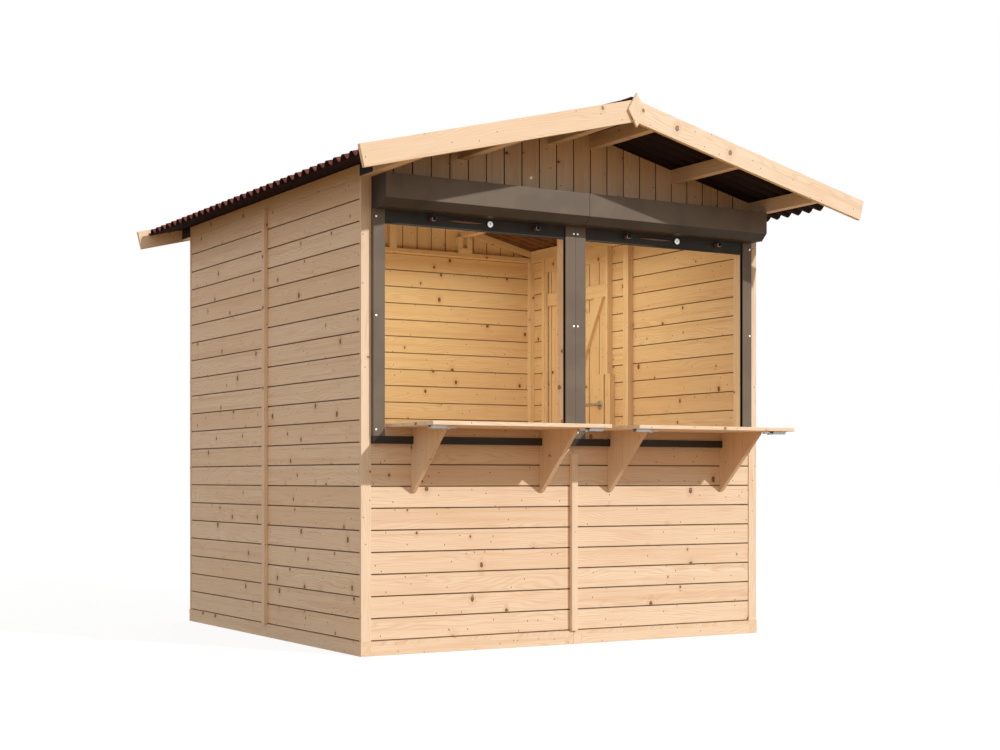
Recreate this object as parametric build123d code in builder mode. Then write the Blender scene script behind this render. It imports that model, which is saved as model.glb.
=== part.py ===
from build123d import *
from math import asin, cos, radians, sin, tan
import os

os.makedirs("parts", exist_ok=True)

# Wooden market hut with two serving hatches under roller shutters, a side door and a gable roof.
# All lengths are millimetres. +X is to the right of the hatch side, +Y runs from the hatch side
# to the back and +Z is up. The origin is on the ground under the middle of the roof.

# Driving sizes of the base
base_width = 2235
base_depth = 2012
joist_size = 45
deck_thickness = 18
panel_gap = 1

# Driving sizes of the walls
wall_height = 2020
board_thickness = 16
wall_inset = 6
post_size = 50
post_inset = 2
post_nose = 16
stud_width = 45
stud_depth = 35
batten_width = 33
batten_thickness = 20

# Driving sizes of the serving side
parapet_top = 957
sill_height = 38
rail_width = 56
rail_depth = 21
rail_slot_width = 14
rail_slot_depth = 34
rail_gap = 1
bar_height = 33
bar_depth = 22
front_batten_height = 824
box_height = 140
box_depth = 133
box_chamfer = 35
box_joint_gap = 1
box_top_gap = 1
slat_bar_thickness = 10
slat_bar_drop = 60
stopper_radius = 12
stopper_length = 28
stopper_places = (-241, 310)
grip_length = 190
grip_height = 13
grip_depth = 9
grip_place = -62
lock_radius = 15.5
lock_depth = 5
lock_place = 65
slat_detail_height = 37

# Driving sizes of the folding counters
counter_thickness = 17
counter_width = 916
counter_reach = 405
counter_bearing = 56
counter_side_gap = 18
bracket_thickness = 20
bracket_leg = 284
bracket_blunt = 10
bracket_places = (126, 806)
bolt_inset = 16
bolt_setback = 34
bolt_channel_length = 76
bolt_channel_width = 44
bolt_channel_depth = 13.5
bolt_channel_flange = 7.5
bolt_channel_crown = 21
bolt_sheet = 2.5
bolt_bar_length = 125
bolt_bar_width = 17
bolt_bar_thickness = 5
bolt_knob_length = 18
bolt_knob_width = 14
bolt_knob_drop = 4.5
bolt_knob_gap = 3

# Driving sizes of the roof
roof_pitch = 13.66
purlin_width = 45
purlin_depth = 54
ridge_purlin_place = 137
front_overhang = 473
back_overhang = 135
side_overhang = 253
sheet_thickness = 4
wave_height = 30
wave_count = 34
wave_crest_radius = 15
wave_crest_half = 11
wave_crest_facets = 4
sheet_ridge_gap = 15
cap_wing = 205
cap_gap = 0.2
cap_peak_rise = 13
cap_crown_half = 25
cap_lift = 3
barge_width = 96
barge_thickness = 20
barge_rise = 35
sheet_setback = 65
mitre_gap = 1
kite_width = 91
kite_height = 154
kite_thickness = 12
gable_drop = 1
gable_rail_height = 24
gable_rafter_width = 35
forked_post_width = 95
fork_gap_width = 37
fork_gap_height = 64

# Driving sizes of the door
door_width = 616
door_height = 1954
door_corner_distance = 200
door_front_boards = 190
door_gap = 6
jamb_width = 22
stop_lip = 5.5
stop_thickness = 20
ledge_height = 72
ledge_thickness = 20
ledge_inset = 14
lower_ledge_height = 150
upper_ledge_height = 1740
middle_ledge_drop = 287
brace_width = 83
brace_setback = 25
hinge_pin_radius = 5
hinge_clearance = 0.3
hinge_wall = 4
hinge_strap_height = 30
hinge_strap_length = 260
hinge_strap_thickness = 3
hinge_offset = 15
hinge_web = 8
pintle_plate_width = 45
pintle_plate_height = 60
pintle_plate_place = 3
lock_block_width = 74
lock_block_height = 300
lock_block_thickness = 35
lock_block_drop = 127
lock_block_inset = 9
keeper_width = 24
keeper_height = 300
handle_height = 1127
handle_backset = 41
handle_radius = 9
handle_neck = 35
handle_length = 115
lever_thickness = 12
lever_rounding = 3
spindle_radius = 5
spindle_clearance = 0.5
rose_radius = 24
rose_thickness = 5
handle_gap = 0.5

# Fit of the notches that let the purlins through the gables
notch_clearance = 0.5

# Places worked out from the driving sizes
half_width = base_width / 2
roof_length = front_overhang + base_depth + back_overhang
roof_front = -roof_length / 2
roof_back = roof_length / 2
base_front = roof_front + front_overhang
base_back = base_front + base_depth
floor_top = joist_size + deck_thickness
wall_top = floor_top + wall_height
wall_face = half_width - wall_inset
wall_inner = wall_face - board_thickness
post_face = half_width - post_inset
post_inner = post_face - post_size
front_face = base_front + wall_inset
back_face = base_back - wall_inset
centre_y = (base_front + base_back) / 2
front_frame = base_front + post_inset
side_board_front = front_frame + post_nose
side_board_back = base_back - post_inset - post_nose
slope = tan(radians(roof_pitch))
slope_cos = cos(radians(roof_pitch))
slope_sin = sin(radians(roof_pitch))
ridge_underside = wall_top + purlin_depth + wall_face * slope


def plan_rect(x0, x1, y0, y1, mode=Mode.ADD):
    """A rectangle by its limits in the sketch plane."""
    with Locations(((x0 + x1) / 2, (y0 + y1) / 2)):
        Rectangle(x1 - x0, y1 - y0, mode=mode)


def front_plane(y):
    """An upright plane at y whose normal faces the front; its own axes are X and Z."""
    return Plane.XZ.offset(-y)


def roof_under(x):
    """Height of the underside of the roof sheets."""
    return ridge_underside - abs(x) * slope


# Floor: two panels side by side, each with two joists from front to back
with BuildPart() as floor_joists:
    with BuildSketch():
        for side in (-1, 1):
            inner = side * (panel_gap + joist_size) / 2
            outer = side * (half_width - joist_size / 2)
            with Locations((inner, centre_y), (outer, centre_y)):
                Rectangle(joist_size, base_depth)
    extrude(amount=joist_size)
floor_joists.part.label = "floor_joists"
export_step(floor_joists.part, "parts/floor_joists.step")

cross_joist_length = half_width - panel_gap / 2 - 2 * joist_size
with BuildPart() as floor_cross_joists:
    with BuildSketch():
        for side in (-1, 1):
            middle_x = side * (panel_gap / 2 + joist_size + cross_joist_length / 2)
            for y in (base_front + joist_size / 2, centre_y, base_back - joist_size / 2):
                with Locations((middle_x, y)):
                    Rectangle(cross_joist_length, joist_size)
    extrude(amount=joist_size)
floor_cross_joists.part.label = "floor_cross_joists"
export_step(floor_cross_joists.part, "parts/floor_cross_joists.step")

with BuildPart() as floor_deck:
    with BuildSketch(Plane.XY.offset(joist_size)):
        plan_rect(-half_width, -panel_gap / 2, base_front, base_back)
        plan_rect(panel_gap / 2, half_width, base_front, base_back)
    extrude(amount=deck_thickness)
floor_deck.part.label = "floor_deck"
export_step(floor_deck.part, "parts/floor_deck.step")

# Corner posts, rebated on their outer sides for the ends of the side boards
with BuildPart() as corner_posts:
    with BuildSketch(Plane.XY.offset(floor_top)):
        for side in (-1, 1):
            plan_rect(*sorted((side * post_inner, side * post_face)), front_frame, front_frame + post_size)
            back_edge = base_back - post_inset
            plan_rect(*sorted((side * post_inner, side * post_face)), back_edge - post_size, back_edge)
    extrude(amount=wall_height)
    with BuildSketch(Plane.XY.offset(floor_top)):
        for side in (-1, 1):
            plan_rect(*sorted((side * wall_inner, side * half_width)), side_board_front, side_board_back)
    extrude(amount=wall_height, mode=Mode.SUBTRACT)
corner_posts.part.label = "corner_posts"
export_step(corner_posts.part, "parts/corner_posts.step")

# Left wall: two board panels that meet at the middle
with BuildPart() as left_wall:
    with BuildSketch(Plane.XY.offset(floor_top)):
        plan_rect(-wall_face, -wall_inner, side_board_front, centre_y - panel_gap / 2)
        plan_rect(-wall_face, -wall_inner, centre_y + panel_gap / 2, side_board_back)
    extrude(amount=wall_height)
left_wall.part.label = "left_wall"
export_step(left_wall.part, "parts/left_wall.step")

# Right wall: a front panel, boards on both sides of the doorway and a strip over it
door_back = base_back - door_corner_distance
door_front = door_back - door_width
door_top = floor_top + door_height
door_panel_front = door_front - door_front_boards

with BuildPart() as right_wall:
    with BuildSketch(Plane.XY.offset(floor_top)):
        plan_rect(wall_inner, wall_face, side_board_front, door_panel_front - panel_gap / 2)
        plan_rect(wall_inner, wall_face, door_panel_front + panel_gap / 2, door_front)
        plan_rect(wall_inner, wall_face, door_back, side_board_back)
    extrude(amount=wall_height)
right_wall.part.label = "right_wall"
export_step(right_wall.part, "parts/right_wall.step")

with BuildPart() as right_wall_over_door:
    with BuildSketch(Plane.XY.offset(door_top)):
        plan_rect(wall_inner, wall_face, door_front, door_back)
    extrude(amount=wall_top - door_top)
right_wall_over_door.part.label = "right_wall_over_door"
export_step(right_wall_over_door.part, "parts/right_wall_over_door.step")

# Back wall: two board panels between the back posts
with BuildPart() as back_wall:
    with BuildSketch(Plane.XY.offset(floor_top)):
        plan_rect(-post_inner, -panel_gap / 2, back_face - board_thickness, back_face)
        plan_rect(panel_gap / 2, post_inner, back_face - board_thickness, back_face)
    extrude(amount=wall_height)
back_wall.part.label = "back_wall"
export_step(back_wall.part, "parts/back_wall.step")

# Front parapet: two board panels below the hatches
with BuildPart() as front_parapet:
    with BuildSketch(Plane.XY.offset(floor_top)):
        plan_rect(-post_inner, -panel_gap / 2, front_face, front_face + board_thickness)
        plan_rect(panel_gap / 2, post_inner, front_face, front_face + board_thickness)
    extrude(amount=parapet_top - floor_top)
front_parapet.part.label = "front_parapet"
export_step(front_parapet.part, "parts/front_parapet.step")

# Studs behind the panel joints of the side walls and the back wall
with BuildPart() as wall_studs:
    with BuildSketch(Plane.XY.offset(floor_top)):
        stud_middle = wall_inner - stud_depth / 2
        with Locations((-stud_middle, centre_y), (stud_middle, door_panel_front)):
            Rectangle(stud_depth, stud_width)
        with Locations((0, back_face - board_thickness - stud_depth / 2)):
            Rectangle(stud_width, stud_depth)
    extrude(amount=wall_height)
wall_studs.part.label = "wall_studs"
export_step(wall_studs.part, "parts/wall_studs.step")

# Studs behind the parapet boards
parapet_back = front_face + board_thickness
with BuildPart() as parapet_studs:
    with BuildSketch(Plane.XY.offset(floor_top)):
        for x in (-post_inner + stud_width / 2, 0, post_inner - stud_width / 2):
            with Locations((x, parapet_back + stud_depth / 2)):
                Rectangle(stud_width, stud_depth)
    extrude(amount=parapet_top - floor_top)
parapet_studs.part.label = "parapet_studs"
export_step(parapet_studs.part, "parts/parapet_studs.step")

# Battens that cover the panel joints outside
with BuildPart() as joint_battens:
    with BuildSketch(Plane.XY.offset(floor_top)):
        batten_middle = wall_face + batten_thickness / 2
        with Locations((-batten_middle, centre_y), (batten_middle, door_panel_front)):
            Rectangle(batten_thickness, batten_width)
        with Locations((0, back_face + batten_thickness / 2)):
            Rectangle(batten_width, batten_thickness)
    extrude(amount=wall_height)
    with BuildSketch(Plane.XY.offset(floor_top)):
        with Locations((0, front_face - batten_thickness / 2)):
            Rectangle(batten_width, batten_thickness)
    extrude(amount=front_batten_height)
joint_battens.part.label = "joint_battens"
export_step(joint_battens.part, "parts/joint_battens.step")

# Hatch frame: sill on the parapet, posts on the sill, beam over both hatches
sill_top = parapet_top + sill_height
box_bottom = wall_top - box_top_gap - box_height
hatch_outer = post_inner - rail_width
hatch_inner = rail_width + rail_gap / 2

with BuildPart() as hatch_sill:
    with BuildSketch(Plane.XY.offset(parapet_top)):
        plan_rect(-post_inner, post_inner, front_frame, front_frame + post_size)
    extrude(amount=sill_height)
hatch_sill.part.label = "hatch_sill"
export_step(hatch_sill.part, "parts/hatch_sill.step")

with BuildPart() as hatch_posts:
    with BuildSketch(Plane.XY.offset(sill_top)):
        plan_rect(-post_inner, -hatch_outer, front_frame, front_frame + post_size)
        plan_rect(-hatch_inner, hatch_inner, front_frame, front_frame + post_size)
        plan_rect(hatch_outer, post_inner, front_frame, front_frame + post_size)
    extrude(amount=box_bottom - sill_top)
hatch_posts.part.label = "hatch_posts"
export_step(hatch_posts.part, "parts/hatch_posts.step")

with BuildPart() as head_beam:
    with BuildSketch(Plane.XY.offset(box_bottom)):
        plan_rect(-post_inner, post_inner, front_frame, front_frame + post_size)
    extrude(amount=wall_top - box_bottom)
head_beam.part.label = "head_beam"
export_step(head_beam.part, "parts/head_beam.step")

# Dark bar along the top of the parapet boards
bar_bottom = parapet_top - bar_height
with BuildPart() as sill_bar:
    with BuildSketch(Plane.XY.offset(bar_bottom)):
        plan_rect(-post_inner, post_inner, front_face - bar_depth, front_face)
    extrude(amount=bar_height)
sill_bar.part.label = "sill_bar"
export_step(sill_bar.part, "parts/sill_bar.step")

# Guide rails of the two shutters, open along the side that faces the hatch
rail_front = front_frame - rail_depth
rail_slot_middle = front_frame - rail_depth / 2
with BuildPart() as guide_rails:
    with BuildSketch(Plane.XY.offset(parapet_top)):
        for side in (-1, 1):
            outer_limits = sorted((side * hatch_outer, side * post_inner))
            inner_limits = sorted((side * rail_gap / 2, side * hatch_inner))
            plan_rect(*outer_limits, rail_front, front_frame)
            plan_rect(*inner_limits, rail_front, front_frame)
            outer_slot = (side * (hatch_outer + rail_slot_depth / 2), rail_slot_middle)
            inner_slot = (side * (hatch_inner - rail_slot_depth / 2), rail_slot_middle)
            with Locations(outer_slot, inner_slot):
                Rectangle(rail_slot_depth, rail_slot_width, mode=Mode.SUBTRACT)
    extrude(amount=box_bottom - parapet_top)
guide_rails.part.label = "guide_rails"
export_step(guide_rails.part, "parts/guide_rails.step")

# Shutter boxes with a bevelled lower front edge
box_front = front_frame - box_depth


def box_outline():
    """Section of a shutter box in the plane of Y and Z."""
    Polyline(
        (front_frame, box_bottom),
        (box_front + box_chamfer, box_bottom),
        (box_front, box_bottom + box_chamfer),
        (box_front, box_bottom + box_height),
        (front_frame, box_bottom + box_height),
        close=True,
    )


box_length = post_inner - box_joint_gap / 2
with BuildPart() as shutter_boxes:
    for left_end in (-post_inner, box_joint_gap / 2):
        with BuildSketch(Plane.YZ.offset(left_end)):
            with BuildLine():
                box_outline()
            make_face()
        extrude(amount=box_length)
shutter_boxes.part.label = "shutter_boxes"
export_step(shutter_boxes.part, "parts/shutter_boxes.step")

# End slats of the raised shutters, with stoppers, grip and lock
slat_bottom = box_bottom - slat_bar_drop
slat_front = rail_slot_middle - slat_bar_thickness / 2
hatch_middle = (hatch_outer + hatch_inner) / 2
slat_length = hatch_outer - hatch_inner + rail_slot_depth
with BuildPart() as shutter_slats:
    for side in (-1, 1):
        with BuildSketch(front_plane(slat_front + slat_bar_thickness)):
            with Locations((side * hatch_middle, slat_bottom + slat_bar_drop / 2)):
                Rectangle(slat_length, slat_bar_drop)
        extrude(amount=slat_bar_thickness)
        with BuildSketch(front_plane(slat_front)):
            for place in stopper_places:
                with Locations((side * hatch_middle + place, slat_bottom + slat_detail_height)):
                    Circle(stopper_radius)
        extrude(amount=stopper_length)
        with BuildSketch(front_plane(slat_front)):
            with Locations((side * hatch_middle + lock_place, slat_bottom + slat_detail_height)):
                Circle(lock_radius)
        extrude(amount=lock_depth)
        with BuildSketch(front_plane(slat_front)):
            with Locations((side * hatch_middle + grip_place, slat_bottom + slat_detail_height)):
                Ellipse(grip_length / 2, grip_height / 2)
        extrude(amount=grip_depth)
shutter_slats.part.label = "shutter_slats"
export_step(shutter_slats.part, "parts/shutter_slats.step")

# Counters that stand out in front of both hatches
counter_back = front_frame + counter_bearing
counter_front = base_front - counter_reach
counter_left_ends = (-hatch_outer + counter_side_gap, hatch_inner + counter_side_gap)
with BuildPart() as counters:
    with BuildSketch(Plane.XY.offset(sill_top)):
        for left_end in counter_left_ends:
            plan_rect(left_end, left_end + counter_width, counter_front, counter_back)
    extrude(amount=counter_thickness)
counters.part.label = "counters"
export_step(counters.part, "parts/counters.step")

# Triangular plate brackets, notched round the dark bar
with BuildPart() as counter_brackets:
    for left_end in counter_left_ends:
        for place in bracket_places:
            with BuildSketch(Plane.YZ.offset(left_end + place)):
                with BuildLine():
                    Polyline(
                        (front_frame, sill_top),
                        (front_frame, parapet_top + notch_clearance),
                        (front_face - bar_depth - notch_clearance, parapet_top + notch_clearance),
                        (front_face - bar_depth - notch_clearance, bar_bottom - notch_clearance),
                        (front_face, bar_bottom - notch_clearance),
                        (front_face, sill_top - bracket_leg),
                        (front_face - bracket_blunt, sill_top - bracket_leg),
                        (front_face - bracket_leg, sill_top - bracket_blunt),
                        (front_face - bracket_leg, sill_top),
                        close=True,
                    )
                make_face()
            extrude(amount=bracket_thickness)
counter_brackets.part.label = "counter_brackets"
export_step(counter_brackets.part, "parts/counter_brackets.step")

# Slide bolts under the front corners of the counters: a bent channel, a flat bar and its knob
bolt_middle_y = counter_front + bolt_setback + bolt_channel_width / 2
bolt_web_top = sill_top - bolt_channel_depth + bolt_sheet


def bolt_channel_outline():
    """Section of the channel, open towards the counter, in the plane of Y and Z."""
    half = bolt_channel_width / 2
    lip = half - bolt_channel_flange
    crown = bolt_channel_crown / 2
    flange_bottom = sill_top - bolt_sheet
    profile = (
        (half, sill_top),
        (half, flange_bottom),
        (lip, flange_bottom),
        (crown, sill_top - bolt_channel_depth),
        (-crown, sill_top - bolt_channel_depth),
        (-lip, flange_bottom),
        (-half, flange_bottom),
        (-half, sill_top),
        (bolt_sheet - lip, sill_top),
        (bolt_sheet - crown, bolt_web_top),
        (crown - bolt_sheet, bolt_web_top),
        (lip - bolt_sheet, sill_top),
    )
    Polyline([(bolt_middle_y + y, z) for y, z in profile], close=True)


with BuildPart() as counter_bolts:
    for left_end in counter_left_ends:
        right_end = left_end + counter_width
        for start, inward in ((left_end + bolt_inset, 1), (right_end - bolt_inset, -1)):
            with BuildSketch(Plane.YZ.offset(start)):
                with BuildLine():
                    bolt_channel_outline()
                make_face()
            extrude(amount=inward * bolt_channel_length)
            bar_limits = sorted((start, start + inward * bolt_bar_length))
            with BuildSketch(Plane.XY.offset(bolt_web_top)):
                plan_rect(*bar_limits, bolt_middle_y - bolt_bar_width / 2, bolt_middle_y + bolt_bar_width / 2)
            extrude(amount=bolt_bar_thickness)
            knob_start = start + inward * (bolt_channel_length + bolt_knob_gap)
            with BuildSketch(Plane.XY.offset(bolt_web_top)):
                with Locations((knob_start + inward * bolt_knob_length / 2, bolt_middle_y)):
                    Rectangle(bolt_knob_length, bolt_knob_width)
            extrude(amount=-bolt_knob_drop)
counter_bolts.part.label = "counter_bolts"
export_step(counter_bolts.part, "parts/counter_bolts.step")

# Purlins from barge board to barge board, bevelled to the pitch of the roof
purlin_front = roof_front + barge_thickness
purlin_length = roof_length - 2 * barge_thickness
middle_purlin_place = (wall_face + ridge_purlin_place) / 2


def purlin_outline(side, outer_face):
    """Section of the purlin on one side whose outer face is at this distance from the middle."""
    inner_face = outer_face - purlin_width
    underside = roof_under(outer_face) - purlin_depth
    Polyline(
        (side * outer_face, underside),
        (side * outer_face, roof_under(outer_face)),
        (side * inner_face, roof_under(inner_face)),
        (side * inner_face, underside),
        close=True,
    )


with BuildPart() as eaves_purlins:
    for side in (-1, 1):
        with BuildSketch(front_plane(purlin_front + purlin_length)):
            with BuildLine():
                purlin_outline(side, wall_face)
            make_face()
        extrude(amount=purlin_length)
eaves_purlins.part.label = "eaves_purlins"
export_step(eaves_purlins.part, "parts/eaves_purlins.step")

with BuildPart() as middle_purlins:
    for side in (-1, 1):
        with BuildSketch(front_plane(purlin_front + purlin_length)):
            with BuildLine():
                purlin_outline(side, middle_purlin_place)
            make_face()
        extrude(amount=purlin_length)
middle_purlins.part.label = "middle_purlins"
export_step(middle_purlins.part, "parts/middle_purlins.step")

with BuildPart() as ridge_purlins:
    for side in (-1, 1):
        with BuildSketch(front_plane(purlin_front + purlin_length)):
            with BuildLine():
                purlin_outline(side, ridge_purlin_place)
            make_face()
        extrude(amount=purlin_length)
ridge_purlins.part.label = "ridge_purlins"
export_step(ridge_purlins.part, "parts/ridge_purlins.step")

# Gables of upright boards, notched round the purlins
gable_half = wall_face - purlin_width - notch_clearance


def gable_outline():
    """Outline of a gable between the eaves purlins, in the plane of X and Z."""
    Polyline(
        (-gable_half, wall_top),
        (gable_half, wall_top),
        (gable_half, roof_under(gable_half) - gable_drop),
        (0, ridge_underside - gable_drop),
        (-gable_half, roof_under(gable_half) - gable_drop),
        close=True,
    )


def purlin_notches():
    """Notches that let the middle and ridge purlins through a gable."""
    for outer_face in (middle_purlin_place, ridge_purlin_place):
        underside = roof_under(outer_face) - purlin_depth - notch_clearance
        for side in (-1, 1):
            near = outer_face - purlin_width - notch_clearance
            far = outer_face + notch_clearance
            plan_rect(*sorted((side * near, side * far)), underside, ridge_underside, Mode.SUBTRACT)


with BuildPart() as gable_boards:
    for plane_y in (front_face + board_thickness, back_face):
        with BuildSketch(front_plane(plane_y)):
            with BuildLine():
                gable_outline()
            make_face()
            purlin_notches()
        extrude(amount=board_thickness)
gable_boards.part.label = "gable_boards"
export_step(gable_boards.part, "parts/gable_boards.step")

# Frame inside each gable: a bottom rail, posts under the purlins and sloping rails between them
frame_planes = (front_face + board_thickness + stud_depth, back_face - board_thickness)
rail_top = wall_top + gable_rail_height
with BuildPart() as gable_rails:
    for plane_y in frame_planes:
        with BuildSketch(front_plane(plane_y)):
            plan_rect(-gable_half, gable_half, wall_top, rail_top)
        extrude(amount=stud_depth)
gable_rails.part.label = "gable_rails"
export_step(gable_rails.part, "parts/gable_rails.step")

ridge_purlin_bottom = roof_under(ridge_purlin_place) - purlin_depth
middle_purlin_bottom = roof_under(middle_purlin_place) - purlin_depth
forked_post_middle = middle_purlin_place - purlin_width / 2
with BuildPart() as gable_posts:
    for plane_y in frame_planes:
        with BuildSketch(front_plane(plane_y)):
            for side in (-1, 1):
                inner_x = ridge_purlin_place - stud_width
                plan_rect(*sorted((side * inner_x, side * ridge_purlin_place)), rail_top, ridge_purlin_bottom)
                inner_x = forked_post_middle - forked_post_width / 2
                outer_x = forked_post_middle + forked_post_width / 2
                plan_rect(*sorted((side * inner_x, side * outer_x)), rail_top, middle_purlin_bottom)
                with Locations((side * forked_post_middle, middle_purlin_bottom - fork_gap_height / 2)):
                    Rectangle(fork_gap_width, fork_gap_height, mode=Mode.SUBTRACT)
        extrude(amount=stud_depth)
gable_posts.part.label = "gable_posts"
export_step(gable_posts.part, "parts/gable_posts.step")

rafter_spans = (
    (ridge_purlin_place, middle_purlin_place - purlin_width),
    (middle_purlin_place, wall_face - purlin_width),
)
with BuildPart() as gable_rafters:
    for plane_y in frame_planes:
        with BuildSketch(front_plane(plane_y)):
            for side in (-1, 1):
                for inner_x, outer_x in rafter_spans:
                    near = inner_x + notch_clearance
                    far = outer_x - notch_clearance
                    drop = gable_drop + gable_rafter_width / slope_cos
                    with BuildLine():
                        Polyline(
                            (side * near, roof_under(near) - gable_drop),
                            (side * far, roof_under(far) - gable_drop),
                            (side * far, roof_under(far) - drop),
                            (side * near, roof_under(near) - drop),
                            close=True,
                        )
                    make_face()
            plan_rect(-gable_half, gable_half, wall_top, rail_top, Mode.SUBTRACT)
        extrude(amount=stud_depth)
gable_rafters.part.label = "gable_rafters"
export_step(gable_rafters.part, "parts/gable_rafters.step")

# Corrugated roof sheets, with the waves running down the slope
wave_pitch = purlin_length / wave_count
wave_amplitude = (wave_height - sheet_thickness) / 2
sheet_run = (half_width + side_overhang - sheet_setback) / slope_cos
crest_turn = asin(wave_crest_half / wave_crest_radius)


def bend_points(middle, side):
    """Points round a crest (side 1) or a trough (side -1) of the sheet's wave."""
    turns = [crest_turn * (2 * step / wave_crest_facets - 1) for step in range(wave_crest_facets + 1)]
    arc_middle = wave_amplitude - wave_crest_radius
    return [
        (middle + wave_crest_radius * sin(turn), side * (arc_middle + wave_crest_radius * cos(turn)))
        for turn in turns
    ]


def wave_line(height):
    """The waves of the whole sheet at this height, from one barge board to the other."""
    points = [(-purlin_length / 2, 0)]
    for index in range(wave_count):
        start = index * wave_pitch - purlin_length / 2
        points += bend_points(start + wave_pitch / 4, 1)
        points += bend_points(start + 3 * wave_pitch / 4, -1)
    points.append((purlin_length / 2, 0))
    Polyline([(u, v + height) for u, v in points])


# Plane across the right slope: its own axes run along the ridge and square to the roof
across_slope = Plane(
    origin=(0, 0, ridge_underside),
    x_dir=(0, 1, 0),
    z_dir=(slope_cos, 0, -slope_sin),
)
with BuildPart() as roof_sheet_right:
    with BuildSketch(across_slope.offset(sheet_ridge_gap)):
        with BuildLine():
            wave_line(wave_amplitude)
            wave_line(wave_amplitude + sheet_thickness)
            for end in (-purlin_length / 2, purlin_length / 2):
                Line((end, wave_amplitude), (end, wave_amplitude + sheet_thickness))
        make_face()
    extrude(amount=sheet_run - sheet_ridge_gap)
roof_sheet_right.part.label = "roof_sheet_right"
export_step(roof_sheet_right.part, "parts/roof_sheet_right.step")

with BuildPart() as roof_sheet_left:
    mirror(roof_sheet_right.part, about=Plane.YZ)
roof_sheet_left.part.label = "roof_sheet_left"
export_step(roof_sheet_left.part, "parts/roof_sheet_left.step")

# Ridge cap: two wings whose lower edges lie on the wave crests and a raised round crown
cap_under = ridge_underside + (wave_height + cap_gap) / slope_cos
cap_over = cap_under + sheet_thickness
wing_x = cap_wing * slope_cos
wing_drop = cap_wing * slope_sin
cap_slope = (wing_drop + cap_peak_rise) / wing_x
crown_foot = cap_over + cap_peak_rise - cap_crown_half * cap_slope
with BuildPart() as ridge_cap:
    with BuildSketch(front_plane(purlin_front + purlin_length)):
        with BuildLine():
            Polyline(
                (-cap_crown_half, crown_foot),
                (-wing_x, cap_over - wing_drop),
                (-wing_x, cap_under - wing_drop),
                (0, cap_under + cap_peak_rise),
                (wing_x, cap_under - wing_drop),
                (wing_x, cap_over - wing_drop),
                (cap_crown_half, crown_foot),
            )
            ThreePointArc(
                (cap_crown_half, crown_foot),
                (0, cap_over + cap_peak_rise + cap_lift),
                (-cap_crown_half, crown_foot),
            )
        make_face()
    extrude(amount=purlin_length)
ridge_cap.part.label = "ridge_cap"
export_step(ridge_cap.part, "parts/ridge_cap.step")

# Barge boards: square at the eaves, mitred at the ridge
barge_top = barge_rise * slope_cos
barge_run = (half_width + side_overhang - barge_top * slope_sin) / slope_cos


def barge_outline():
    """One barge board on the right slope; the sketch axes run down the slope and square to it."""
    top_start = (mitre_gap / 2 - barge_top * slope_sin) / slope_cos
    bottom_start = (mitre_gap / 2 - (barge_top - barge_width) * slope_sin) / slope_cos
    Polyline(
        (top_start, barge_top),
        (barge_run, barge_top),
        (barge_run, barge_top - barge_width),
        (bottom_start, barge_top - barge_width),
        close=True,
    )


def slope_plane(y):
    """Upright plane at y along the right slope, with its normal facing the front."""
    return Plane(origin=(0, y, ridge_underside), x_dir=(slope_cos, 0, -slope_sin), z_dir=(0, -1, 0))


with BuildPart() as barge_boards:
    for plane_y in (purlin_front, roof_back):
        with BuildSketch(slope_plane(plane_y)):
            with BuildLine():
                barge_outline()
            make_face()
        extrude(amount=barge_thickness)
    mirror(about=Plane.YZ)
barge_boards.part.label = "barge_boards"
export_step(barge_boards.part, "parts/barge_boards.step")

# Kite shaped covers over the joints of the barge boards
kite_middle = ridge_underside + barge_rise - barge_width / slope_cos / 2
with BuildPart() as ridge_kites:
    for plane_y in (roof_front, roof_back + kite_thickness):
        with BuildSketch(front_plane(plane_y)):
            with BuildLine():
                Polyline(
                    (0, kite_middle + kite_height / 2),
                    (kite_width / 2, kite_middle),
                    (0, kite_middle - kite_height / 2),
                    (-kite_width / 2, kite_middle),
                    close=True,
                )
            make_face()
        extrude(amount=kite_thickness)
ridge_kites.part.label = "ridge_kites"
export_step(ridge_kites.part, "parts/ridge_kites.step")

# Doorway: jambs behind the boards and the keeper block beside the front jamb
jamb_inner = wall_inner - stud_depth
with BuildPart() as door_jambs:
    with BuildSketch(Plane.XY.offset(floor_top)):
        plan_rect(jamb_inner, wall_inner, door_front - jamb_width, door_front)
        plan_rect(jamb_inner, wall_inner, door_back, door_back + jamb_width)
    extrude(amount=wall_height)
door_jambs.part.label = "door_jambs"
export_step(door_jambs.part, "parts/door_jambs.step")

handle_z = floor_top + handle_height
block_bottom = handle_z - lock_block_drop
with BuildPart() as keeper_block:
    with BuildSketch(Plane.XY.offset(block_bottom)):
        plan_rect(jamb_inner, wall_inner, door_front - jamb_width - keeper_width, door_front - jamb_width)
    extrude(amount=keeper_height)
keeper_block.part.label = "keeper_block"
export_step(keeper_block.part, "parts/keeper_block.step")

# Door leaf of upright boards in the plane of the wall boards
leaf_bottom = floor_top + door_gap
leaf_height = door_height - 2 * door_gap
leaf_front = door_front + door_gap
leaf_back = door_back - door_gap
lock_middle = leaf_front + handle_backset
with BuildPart() as door_leaf:
    with BuildSketch(Plane.XY.offset(leaf_bottom)):
        plan_rect(wall_inner, wall_face, leaf_front, leaf_back)
    extrude(amount=leaf_height)
    with BuildSketch(Plane.YZ.offset(wall_inner)):
        with Locations((lock_middle, handle_z)):
            Circle(spindle_radius + spindle_clearance)
    extrude(amount=board_thickness, mode=Mode.SUBTRACT)
door_leaf.part.label = "door_leaf"
export_step(door_leaf.part, "parts/door_leaf.step")

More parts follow.
